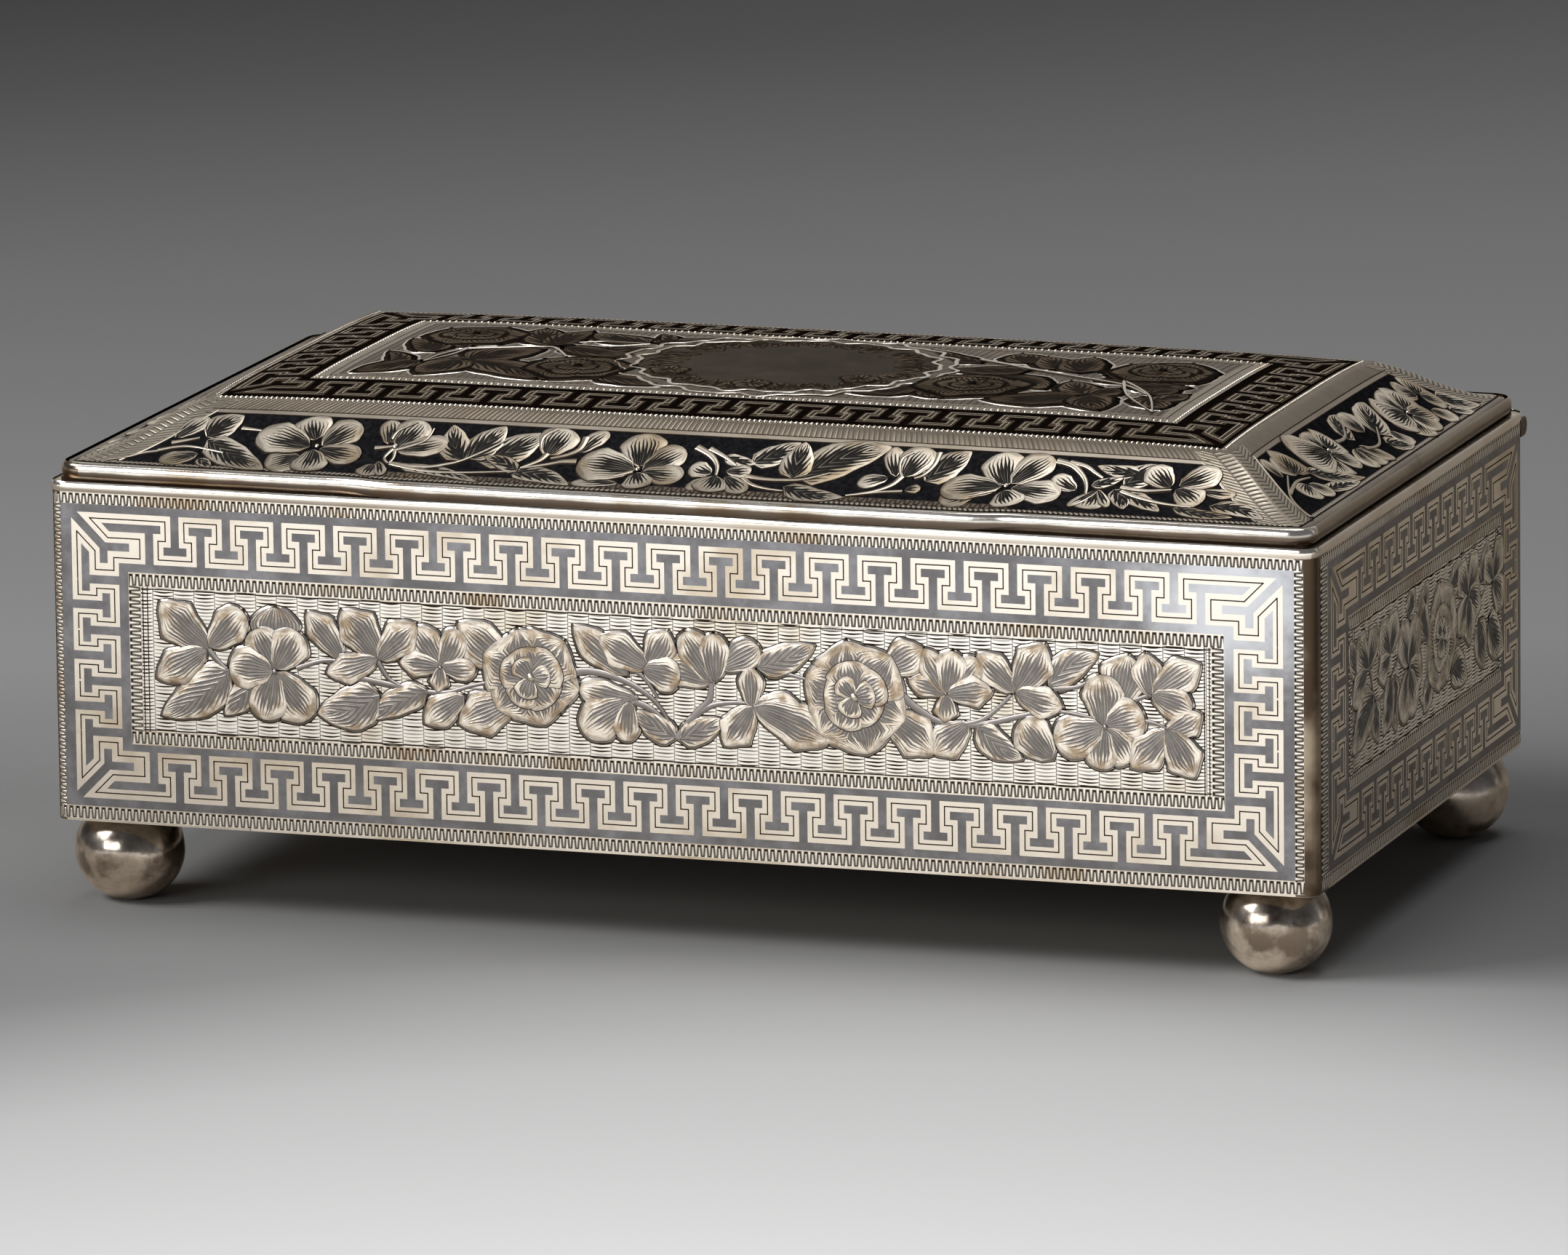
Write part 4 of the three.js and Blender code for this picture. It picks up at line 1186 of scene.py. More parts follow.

# Garlands of the lid, in pixels of flattened views of the photo, where their points were picked.
# Each view is given by the place of its left edge, in millimetres from the casket's middle.
FRONT_SKIRT_VIEWS = {
    -75: [
        ("P", [(560, 360), (690, 185)], 115, 1),
        ("L", [(720, 340), (870, 160)], 165, 1),
        ("L", [(735, 365), (1115, 610)], 170, 2),
        ("S", [(500, 475), (590, 440), (680, 430), (850, 470)], 22, 4),
        ("S", [(555, 410), (690, 355)], 26, 4),
        ("P", [(720, 485), (540, 570)], 130, 1),
        ("L", [(740, 530), (825, 620)], 60, 2),
        ("S", [(505, 480), (430, 510), (360, 560), (270, 600)], 18, 4),
        ("S", [(890, 260), (1010, 277)], 24, 3),
        ("P", [(1270, 470), (1110, 570)], 200, 1),
        ("P", [(1300, 330), (1230, 150)], 205, 2),
        ("P", [(1345, 370), (1505, 190)], 185, 3),
        ("P", [(1340, 400), (1570, 445)], 160, 4),
        ("P", [(1315, 410), (1325, 608)], 185, 5),
        ("P", [(1290, 390), (990, 310)], 215, 6),
        ("K", [(1325, 385)], 36, 9),
    ],
    -38: [
        ("P", [(60, 330), (20, 145)], 110, 1),
        ("P", [(110, 350), (200, 140)], 190, 2),
        ("P", [(110, 370), (370, 290)], 140, 3),
        ("S", [(70, 300), (90, 230), (170, 160)], 18, 7),
        ("S", [(110, 380), (240, 300), (270, 200)], 22, 7),
        ("S", [(0, 370), (50, 360), (110, 345)], 28, 7),
        ("K", [(105, 350)], 44, 8),
        ("S", [(95, 370), (75, 440), (110, 480)], 24, 6),
        ("S", [(110, 370), (125, 430), (115, 480)], 20, 6),
        ("S", [(120, 480), (230, 492), (330, 490), (400, 470),
               (470, 435), (570, 350), (680, 240)], 28, 6),
        ("S", [(120, 480), (240, 515), (360, 530), (500, 525), (620, 512), (790, 492)], 24, 6),
        ("P", [(30, 490), (20, 605)], 120, 2),
        ("P", [(50, 470), (110, 590)], 60, 3),
        ("L", [(480, 420), (360, 160)], 150, 2),
        ("L", [(500, 410), (640, 150)], 170, 2),
        ("L", [(560, 420), (860, 190)], 200, 1),
        ("L", [(790, 490), (590, 385)], 85, 4),
        ("L", [(170, 500), (630, 603)], 70, 3),
        ("P", [(905, 350), (965, 145)], 215, 2),
        ("S", [(910, 150), (855, 210), (860, 290), (895, 345)], 26, 5),
        ("S", [(1075, 200), (1065, 290), (1010, 340), (935, 375)], 34, 5),
        ("P", [(1070, 320), (1175, 150)], 100, 2),
        ("S", [(905, 340), (880, 400), (800, 462)], 36, 6),
        ("S", [(1075, 385), (1000, 395), (930, 420), (800, 462)], 30, 5),
        ("L", [(760, 495), (1100, 580)], 110, 2),
        ("P", [(1340, 540), (1105, 560)], 75, 2),
        ("P", [(1410, 400), (1365, 150)], 230, 2),
        ("P", [(1430, 420), (1610, 255)], 170, 3),
        ("P", [(1430, 440), (1655, 455)], 150, 4),
        ("P", [(1410, 450), (1465, 575)], 150, 5),
        ("P", [(1395, 430), (1088, 400)], 235, 6),
        ("S", [(1385, 445), (1300, 490), (1210, 500)], 26, 8),
        ("K", [(1410, 425)], 44, 9),
    ],
    0: [
        ("P", [(120, 420), (0, 370)], 110, 2),
        ("P", [(160, 440), (30, 555)], 90, 1),
        ("P", [(190, 400), (315, 385)], 90, 3),
        ("P", [(200, 440), (335, 565)], 110, 3),
        ("P", [(150, 440), (130, 575)], 175, 4),
        ("S", [(-10, 230), (80, 290), (130, 360), (150, 440)], 36, 6),
        ("S", [(60, 235), (150, 290), (230, 352)], 26, 5),
        ("L", [(300, 330), (515, 155)], 130, 2),
        ("L", [(150, 290), (330, 330)], 70, 2),
        ("L", [(540, 425), (535, 150)], 160, 3),
        ("L", [(560, 420), (985, 150)], 230, 2),
        ("S", [(300, 425), (380, 440), (470, 447), (600, 430), (725, 370)], 28, 5),
        ("S", [(290, 440), (350, 490), (430, 520), (530, 530)], 24, 5),
        ("L", [(520, 495), (850, 560)], 120, 3),
        ("P", [(1065, 370), (1000, 150)], 95, 2),
        ("P", [(1105, 370), (1180, 145)], 190, 3),
        ("S", [(1110, 185), (1060, 240), (1075, 330), (1100, 370)], 20, 6),
        ("S", [(1240, 180), (1235, 270), (1200, 350), (1160, 380)], 30, 6),
        ("S", [(1095, 370), (1060, 440), (980, 500), (860, 545)], 30, 6),
        ("S", [(1130, 480), (1020, 500), (900, 535)], 18, 6),
        ("P", [(1030, 385), (885, 440)], 95, 2),
        ("L", [(1220, 390), (1400, 150)], 170, 1),
        ("P", [(1140, 470), (1215, 450)], 60, 3),
        ("P", [(1500, 430), (1350, 560)], 150, 1),
    ],
    37: [
        ("P", [(15, 395), (-60, 145)], 210, 3),
        ("P", [(30, 380), (195, 160)], 180, 4),
        ("P", [(40, 410), (300, 440)], 175, 2),
        ("P", [(10, 430), (80, 560)], 165, 3),
        ("P", [(-10, 410), (-310, 455)], 185, 5),
        ("S", [(-30, 440), (-90, 470), (-150, 500)], 24, 8),
        ("K", [(15, 405)], 40, 9),
        ("P", [(370, 400), (235, 300)], 130, 1),
        ("S", [(220, 190), (310, 215), (380, 290), (415, 360), (425, 430)], 34, 6),
        ("S", [(290, 195), (380, 215), (440, 265), (485, 300)], 26, 6),
        ("L", [(440, 365), (585, 295)], 75, 6),
        ("P", [(465, 410), (450, 548)], 205, 2),
        ("P", [(480, 400), (360, 535)], 60, 4),
        ("P", [(480, 390), (565, 525)], 60, 4),
        ("L", [(560, 375), (645, 530)], 120, 1),
        ("L", [(620, 400), (830, 535)], 110, 1),
        ("L", [(770, 240), (430, 200)], 120, 1),
        ("L", [(600, 340), (790, 180)], 170, 1),
        ("P", [(840, 340), (710, 190)], 180, 4),
        ("P", [(880, 330), (1060, 185)], 200, 5),
        ("P", [(870, 350), (1010, 465)], 190, 4),
        ("S", [(590, 360), (720, 378), (850, 360)], 26, 7),
        ("S", [(600, 390), (680, 425), (760, 452), (860, 475), (980, 492)], 26, 6),
        ("P", [(1000, 345), (1180, 365)], 85, 2),
        ("L", [(890, 500), (1210, 560)], 90, 1),
        ("L", [(1070, 470), (1370, 560)], 120, 2),
    ],
}
END_SKIRT_VIEWS = {
    -42.25: [
        ("P", [(345, 160), (370, 78)], 45, 1),
        ("P", [(420, 165), (495, 110)], 110, 2),
        ("S", [(160, 305), (210, 250), (260, 210), (370, 165)], 12, 5),
        ("S", [(265, 210), (370, 192), (455, 205)], 12, 5),
        ("P", [(430, 175), (400, 95)], 70, 1),
        ("P", [(700, 150), (700, 82)], 100, 2),
        ("P", [(720, 160), (795, 135)], 100, 3),
        ("P", [(700, 180), (770, 240)], 80, 2),
        ("P", [(680, 190), (620, 245)], 85, 2),
        ("P", [(700, 170), (535, 120)], 140, 5),
        ("K", [(705, 170)], 20, 9),
        ("L", [(480, 180), (665, 292)], 50, 3),
        ("L", [(440, 260), (620, 292)], 40, 2),
        ("P", [(400, 215), (325, 250)], 70, 2),
        ("P", [(410, 215), (430, 285)], 70, 3),
        ("S", [(800, 160), (850, 165), (900, 150), (970, 105)], 12, 5),
        ("L", [(870, 170), (980, 95)], 60, 2),
        ("P", [(990, 180), (990, 92)], 100, 3),
        ("L", [(1040, 205), (1185, 105)], 90, 2),
        ("S", [(885, 222), (940, 235), (990, 228), (1075, 188)], 12, 6),
        ("P", [(850, 205), (850, 295)], 80, 2),
        ("P", [(870, 205), (920, 295)], 60, 3),
        ("P", [(835, 205), (780, 285)], 60, 3),
        ("L", [(1010, 240), (1100, 290)], 60, 2),
        ("P", [(1110, 215), (1110, 290)], 70, 2),
        ("P", [(1310, 190), (1285, 100)], 110, 2),
        ("P", [(1325, 195), (1410, 135)], 110, 3),
        ("P", [(1320, 205), (1420, 240)], 80, 4),
        ("P", [(1310, 215), (1330, 300)], 90, 4),
        ("P", [(1300, 215), (1210, 290)], 80, 3),
        ("P", [(1300, 200), (1172, 185)], 130, 6),
        ("K", [(1310, 203)], 20, 9),
        ("P", [(1480, 170), (1415, 115)], 75, 3),
        ("P", [(1490, 165), (1545, 120)], 85, 3),
        ("P", [(1490, 180), (1550, 235)], 75, 4),
        ("P", [(1440, 230), (1470, 302)], 80, 2),
        ("L", [(1560, 200), (1665, 300)], 70, 2),
        ("P", [(1520, 260), (1590, 300)], 60, 1),
    ],
}
TOP_VIEWS = {
    -62: [
        ("R", [(505, 385)], 172, 3),
        ("L", [(800, 490), (690, 212)], 125, 2),
        ("L", [(812, 495), (846, 214)], 105, 3),
        ("L", [(1095, 365), (868, 248)], 120, 2),
        ("L", [(1110, 360), (1350, 212)], 120, 2),
        ("L", [(1142, 332), (1088, 210)], 48, 4),
        ("L", [(858, 512), (1140, 602)], 105, 3),
        ("B", [(1105, 384), (826, 448)], 80, 2),
        ("S", [(560, 612), (680, 562), (800, 522), (852, 560), (920, 668)], 20, 5),
        ("L", [(470, 690), (334, 498)], 105, 2),
        ("L", [(548, 592), (412, 468)], 52, 2),
        ("L", [(482, 850), (340, 1082)], 112, 2),
        ("L", [(432, 935), (328, 715)], 60, 1),
        ("L", [(640, 802), (802, 560)], 168, 3),
        ("L", [(640, 812), (952, 1056)], 150, 4),
        ("L", [(612, 815), (550, 1064)], 140, 5),
        ("B", [(562, 600), (496, 862)], 34, 5),
        ("L", [(662, 800), (520, 832)], 66, 3),
        ("R", [(1018, 835)], 190, 5),
        ("L", [(1135, 962), (1362, 1050)], 100, 2),
        ("L", [(1150, 880), (1345, 1030)], 60, 1),
        ("L", [(700, 600), (600, 700)], 70, 2),
        ("L", [(1000, 520), (1150, 440)], 60, 1),
    ],
    0: [
        ("S", [(490, 372), (590, 422), (680, 472), (860, 562), (1060, 662), (1180, 802)], 20, 6),
        ("L", [(505, 425), (288, 238)], 82, 2),
        ("L", [(650, 385), (586, 232)], 120, 2),
        ("L", [(785, 460), (682, 262)], 115, 3),
        ("L", [(862, 505), (828, 238)], 130, 4),
        ("R", [(1120, 428)], 180, 5),
        ("L", [(692, 505), (442, 548)], 118, 3),
        ("R", [(598, 795)], 185, 5),
        ("L", [(640, 615), (838, 795)], 135, 3),
        ("L", [(992, 852), (884, 648)], 112, 3),
        ("L", [(1002, 852), (1056, 716)], 100, 4),
        ("L", [(972, 872), (704, 1002)], 150, 4),
        ("L", [(952, 905), (898, 1048)], 118, 3),
        ("L", [(1010, 862), (1112, 1082)], 130, 5),
        ("B", [(1040, 590), (1286, 1076)], 66, 6),
        ("L", [(1100, 702), (1282, 656)], 100, 2),
        ("L", [(1182, 782), (1252, 690)], 70, 3),
        ("L", [(1200, 832), (1292, 1012)], 110, 2),
        ("L", [(1232, 882), (1302, 756)], 78, 3),
        ("L", [(432, 852), (250, 992)], 128, 2),
        ("L", [(482, 902), (540, 1012)], 70, 2),
        ("L", [(950, 600), (1150, 640)], 60, 1),
    ],
}

# Pixels to a millimetre in the views
FRONT_VIEW_SCALE = 44
END_VIEW_SCALE = 22
TOP_VIEW_SCALE = 28
# What a skirt's view shows above the crease, and how far and how long its curve bends the view
SKIRT_VIEW_ABOVE = 1
SKIRT_VIEW_BEND = 0.95
SKIRT_VIEW_DEPTH = 13.1
# Upper edge of the top's views, and how far a rise of 1 mm shifts a point in them
TOP_VIEW_BACK = 28
RISE_SHIFT = (1.556, -4.53)


# A place on a skirt, along and down from the crease, from a place in its view
def on_skirt(along, down):
    down -= SKIRT_VIEW_ABOVE
    down += SKIRT_VIEW_BEND * max(0, 1 - max(down, 0) / SKIRT_VIEW_DEPTH) ** 2
    return (round(along, 1), round(down, 1))


# A place on the domed top from a place in its view, which was flattened without the dome
def on_top(seen_x, down):
    seen_y = TOP_VIEW_BACK - down
    x = seen_x
    y = seen_y
    for _ in range(20):
        rise = top_rise(x, y - CENTRE_Y)
        x = seen_x + RISE_SHIFT[0] * rise
        y = seen_y + RISE_SHIFT[1] * rise
    return (round(x, 1), round(y - CENTRE_Y, 1))


# Widths that were made larger or smaller: by kind, and on the front skirt past a place
def front_width(kind, along):
    return 0.84 if kind in "LFPD" and along > 40 else 1


def end_width(kind, along):
    return 1.12 if kind in "LFPD" else 1


def top_width(kind, along):
    return {"L": 1.2, "R": 1.08}.get(kind, 1)


# A garland in millimetres from its views
def from_views(views, scale, place, share):
    rows = []
    for start, shapes in views.items():
        for kind, points, width, layer in shapes:
            points = [place(start + x / scale, y / scale) for x, y in points]
            width = round(width / scale, 1) * share(kind, points[0][0])
            rows.append((kind, points, round(width, 1), layer))
    return rows


FRONT_SKIRT_GARLAND = from_views(FRONT_SKIRT_VIEWS, FRONT_VIEW_SCALE, on_skirt, front_width)
END_SKIRT_GARLAND = from_views(END_SKIRT_VIEWS, END_VIEW_SCALE, on_skirt, end_width)
TOP_GARLAND = from_views(TOP_VIEWS, TOP_VIEW_SCALE, on_top, top_width)


# One wall: borders, niello bands with the Greek key, basket-weave ground and garland
def dress_wall(side, rows, key_row, key_column):
    length = 2 * SIDES[side][0]
    height = WALL_HEIGHT
    place = wall_placer(side)

    near, end = WALL_MARGINS[side]
    far = length - end
    inner = WALL_INNER_SIDE
    niello = WALL_NIELLO_SIDE

    skin = Sheet()
    corner = 0.38
    for x0, x1 in ((corner, near + niello[0]), (far - niello[0], length - corner)):
        skin.field((x0, 0.02), (x1, height - 0.02), 0.008, "wall_corner", step=0.25)
    skin.field((near + niello[0], 0.02), (far - niello[0], height - 0.02), 0.008, "wall_plain", step=30.0)
    bend = CASE_CORNER + 0.4
    parts = (
        (near + niello[0], bend, 0.2),
        (bend, length - bend, 20.0),
        (length - bend, far - niello[0], 0.2),
    )
    for top, foot in (WALL_NIELLO_TOP, WALL_NIELLO_FOOT):
        for x0, x1, step in parts:
            skin.field((x0, top), (x1, foot), 0.016, "wall_niello", step=step)
    for x0, x1 in ((near + niello[0], near + niello[1]), (far - niello[1], far - niello[0])):
        skin.field((x0, WALL_NIELLO_TOP[1]), (x1, WALL_NIELLO_FOOT[0]), 0.016, "wall_niello", step=0.3)
    build(f"{side}_wall_skin", skin, place, "case")

    rim = Sheet()

    def bead(i, j):
        wave = 0.02 * math.sin(9 * i) + 0.015 * math.sin(31 * i + 1)
        lift = 0.03 + (0.15 + wave) * math.sin(math.pi * j) ** 0.8
        return (corner + (length - 2 * corner) * i, -0.16 + 1.14 * j, lift)
    rim.grid(round(length * 1.5), 8, "lip", bead, lambda i, j: (i * length, j))
    build(f"{side}_wall_rim", rim, place, "case")

    border = Sheet()
    frames = (
        (WALL_OUTER_TOP, WALL_OUTER_FOOT, WALL_OUTER_SIDE, 0.55 * near, 0.35),
        (WALL_INNER_TOP, WALL_INNER_FOOT, inner, near, 1.0),
    )
    for top, foot, ends, margin, step in frames:
        x0 = margin + ends[0]
        x1 = far - ends[0]
        for row in (top, foot):
            border.field((x0, row[0]), (x1, row[1]), 0.026, "wall_zigzag", step=step)
        for left, right in ((x0, near + ends[1]), (far - ends[1], x1)):
            border.field((left, top[1]), (right, foot[0]), 0.026, "wall_zigzag", upright=True, step=0.35)
    build(f"{side}_wall_zigzag_borders", border, place, "case")

    key = Sheet()
    low = (near + WALL_KEY_SIDE, WALL_KEY_TOP)
    high = (far - WALL_KEY_SIDE, WALL_KEY_FOOT)
    frame_strips(key, low, high, KEY_DEPTH, KEY_DEPTH, 0.024, "wall_plain", step=20.0)
    key_frame(key, low, high, KEY_DEPTH, *key_row, *key_column, 0.032, "wall_niello", "line", (0.14, (0.0,)))
    build(f"{side}_wall_greek_key", key, place, "case")

    ground = Sheet()
    x0 = near + inner[1] + 0.1
    x1 = far - inner[1] - 0.1
    y0 = WALL_INNER_TOP[1] + 0.1
    y1 = WALL_INNER_FOOT[0] - 0.1
    ground.plate([(x0, y0), (x1, y0), (x1, y1), (x0, y1)], 0.024, "weave")
    for y in (y0 + 0.18, y1 - 0.18):
        edge = [(x0, y), (x0 + length / 3, y - 0.05), (x0 + length / 2, y + 0.06), (x1, y)]
        ground.ribbon(edge, 0.14, 0.034, "line", 0.005, (1, 1))
    for x in (x0 + 0.18, x0 + 0.75, x1 - 0.18, x1 - 0.75):
        hairline(ground, [(x, y0), (x, y1)], 0.13, 0.032, "line")
    build(f"{side}_wall_weave_ground", ground, place, "case")

    flowers = Sheet()
    petal, rose_petal, relief = ("end_blade", None, 0.5)
    if side in ("front", "back"):
        petal, rose_petal, relief = ("wall_blade", "wall_rose", 0.65)
    halo = ("line", 0.13, 0.037, 0.17, "wall_plain", "wall_stem")
    garland(flowers, rows, petal, "wall_stem", halo, rose_finish=rose_petal)

    def low_place(x, y, z):
        return place(x, y, 0.026 + relief * (z - 0.026))
    build(f"{side}_wall_garland", flowers, low_place, "case")


# Part of a skirt or of the crown above it, between two lengths down from the crease
def skirt_field(sheet, side, span, reach, lift, finish, columns, rows, end=None, flat=False):
    half_along = SIDES[side][0]

    def limit(down, margin):
        inset = CREASE_INSET - down if down < 0 else skirt_inset(down)
        return half_along - inset - margin

    def shape(i, j):
        down = span[0] + j * (span[1] - span[0])
        if end is None:
            return ((2 * i - 1) * limit(down, reach), down, lift)
        return (end * (limit(down, 0) - reach * i), down, lift)

    def pattern(i, j):
        down = span[0] + j * (span[1] - span[0])
        if end is not None:
            return (1.35 * down, i)
        if flat:
            return ((2 * i - 1) * limit(down, reach), down)
        return ((2 * i - 1) * limit(span[0], reach), j)
    sheet.grid(columns, rows, finish, shape, pattern)


# A row of small round beads at given places of a drawing
def beads(sheet, places, radius, lift, finish):
    for x, y in places:
        def shape(i, j):
            angle = 2 * math.pi * i
            reach = radius * math.cos(math.pi / 2 * j)
            level = lift + radius * 0.8 * math.sin(math.pi / 2 * j)
            return (x + reach * math.cos(angle), y + reach * math.sin(angle), level)
        sheet.grid(6, 2, finish, shape, lambda i, j: (i, j))


# One skirt of the lid: niello ground, bands, lines and garland
def dress_skirt(side, rows):
    half_along = SIDES[side][0]
    place = skirt_placer(side)
    count = round(half_along)
    foot = SKIRT_LENGTH

    skin = Sheet()
    skirt_field(skin, side, (2.0, foot - 0.05), 0.05, 0.035, "lid_niello", count * 2, 22)
    skirt_field(skin, side, (-BAND_EDGE[0], 2.0), 0.0, 0.035, "crease_band", count * 2, 10)
    skirt_field(skin, side, (2.12, 2.72), HIP_REACH - 0.9, 0.05, "lid_plain", count, 2, flat=True)
    for down in (2.06, 2.78):
        skirt_field(skin, side, (down - 0.07, down + 0.07), HIP_REACH - 0.9, 0.062, "line", count, 1)
    build(f"lid_{side}_skirt_skin", skin, place, "lid")

    bands = Sheet()
    for end in (-1, 1):
        skirt_field(bands, side, (0.3, foot - 0.3), HIP_REACH, 0.06, "hip_band", 8, 22, end=end)
        edge = []
        for step in range(9):
            down = 2.4 + (foot - 3.2) * step / 8
            edge.append((end * (half_along - skirt_inset(down) - HIP_REACH - 0.15), down))
        bands.ribbon(edge, 0.32, 0.07, "lid_stem", 0.05, (1, 1))
    skirt_field(bands, side, (foot - 0.75, foot - 0.05), 1.2, 0.05, "dots", count * 2, 2)
    reach = half_along - CREASE_INSET - 1.6
    pairs = round(2 * reach / 0.62)
    if side != "back":
        places = [(-reach + 2 * reach * k / pairs, -0.75) for k in range(pairs + 1)]
        beads(bands, places, 0.2, 0.06, "lid_bead")
    build(f"lid_{side}_skirt_bands", bands, place, "lid")

    if side == "front":
        thumb = Sheet()
        half = THUMB_LENGTH / 2 + 1.5

        def shape(i, j):
            return ((2 * i - 1) * half, foot - 1.7 + 0.95 * j, 0.06)
        thumb.grid(76, 3, "thumb_zigzag", shape, lambda i, j: ((2 * i - 1) * half, 1 - j))
        build("lid_thumb_zigzag", thumb, place, "lid")

    flowers = Sheet()
    garland(flowers, rows, "lid_blade" if side in ("front", "back") else "lid_end_blade", "lid_stem")
    build(f"lid_{side}_skirt_garland", flowers, place, "lid")


# Rolled edge of the lid's lip, all round
def dress_lip():
    inner_x = HALF_LENGTH - LIP_SETBACK - LIP_CORNER
    inner_y = HALF_DEPTH - LIP_SETBACK - LIP_CORNER
    path = []
    starts = []
    for turn in range(4):
        starts.append(len(path))
        across, reach = ((inner_x, inner_y), (inner_y, inner_x))[turn % 2]
        angle = math.pi / 2 * turn
        out = (math.sin(angle), -math.cos(angle))
        along = (math.cos(angle), math.sin(angle))
        steps = round(across)
        for k in range(steps + 1):
            place = across * (2 * k / steps - 1)
            swell = thumb_swell(place) if turn == 0 else 0
            far = reach + LIP_CORNER + swell
            path.append((along[0] * place + out[0] * far, along[1] * place + out[1] * far, out))
        for k in range(1, 8):
            turned = angle + math.pi / 2 * k / 8
            way = (math.sin(turned), -math.cos(turned))
            corner = (along[0] * across + out[0] * reach, along[1] * across + out[1] * reach)
            path.append((corner[0] + way[0] * LIP_CORNER, corner[1] + way[1] * LIP_CORNER, way))
    path.append(path[0])
    top = LIP_TOP + 0.05
    foot = WALL_TOP + 0.25
    middle = (top + foot) / 2
    half = (top - foot) / 2
    count = len(path) - 1
    edge = Sheet()

    def shape(i, j):
        x, y, out = path[round(i * count)]
        wave = 0.03 * math.sin(0.21 * x + 0.17 * y) + 0.025 * math.sin(0.67 * x - 0.4 * y)
        angle = math.pi * (j - 0.5)
        reach = 0.02 + (0.42 + wave) * math.cos(angle)
        level = middle + wave * math.cos(angle) + half * math.sin(angle)
        return (x + out[0] * reach, y + CENTRE_Y + out[1] * reach, level)
    starts.append(count)
    for turn in range(4):
        first, last = starts[turn:turn + 2]
        part = last - first

        def part_shape(i, j):
            return shape((first + i * part) / count, j)
        # The end lips take a darker copy of the lip's finish, as painted shade
        finish = "lip_edge" if turn % 2 == 0 else "lip_side"
        edge.grid(part, 12, finish, part_shape, lambda i, j: ((first + i * part) / 2, j))
    build("lid_lip_rolled_edge", edge, lambda x, y, z: (x, y, z), "lid", flip=False)


# The wavy double ring round the bare oval, and the wreath of leaves inside it
def draw_oval(sheet, centre, half_x, half_y):
    def spot(angle, reach, out=0.0):
        return (centre[0] + (half_x * reach + out) * math.cos(angle),
                centre[1] + (half_y * reach + out) * math.sin(angle))
    rings = ((0.0, 1.9, 0.13, "top_field"), (0.95, 0.5, 0.2, "top_edge"), (-0.95, 0.5, 0.2, "top_edge"))
    for out, width, lift, finish in rings:
        ring = []
        for step in range(97):
            angle = 2 * math.pi * step / 96
            wave = 0.45 * math.sin(17 * angle + out) + 0.3 * math.sin(29 * angle)
            ring.append(spot(angle, 1.0, out + (wave if width < 1 else 0)))
        sheet.ribbon(ring, width, lift, finish, 0.05, (1, 1))
    for near, far, count, wide in ((0.86, 0.68, 38, 2.1), (0.8, 0.92, 44, 1.7)):
        for step in range(count):
            angle = 2 * math.pi * (step + random.uniform(-0.25, 0.25)) / count
            turn = angle + random.uniform(-0.16, 0.16)
            base = spot(angle, near + random.uniform(-0.03, 0.03))
            tip = spot(turn, far + random.uniform(-0.04, 0.03))
            lift = 0.12 + 0.01 * (step % 3)
            width = wide * random.uniform(0.8, 1.2)
            blade(sheet, base, tip, width, lift, "top_blade", kind="L", rows=7, columns=4)


# A rectangle about the middle of the lid's top
def top_plane(sheet, columns, rows, half_x, half_y, lift, finish):
    def shape(i, j):
        return ((2 * i - 1) * half_x, (2 * j - 1) * half_y, lift)
    sheet.grid(columns, rows, finish, shape, lambda i, j: (i * 2 * half_x, j * 2 * half_y))


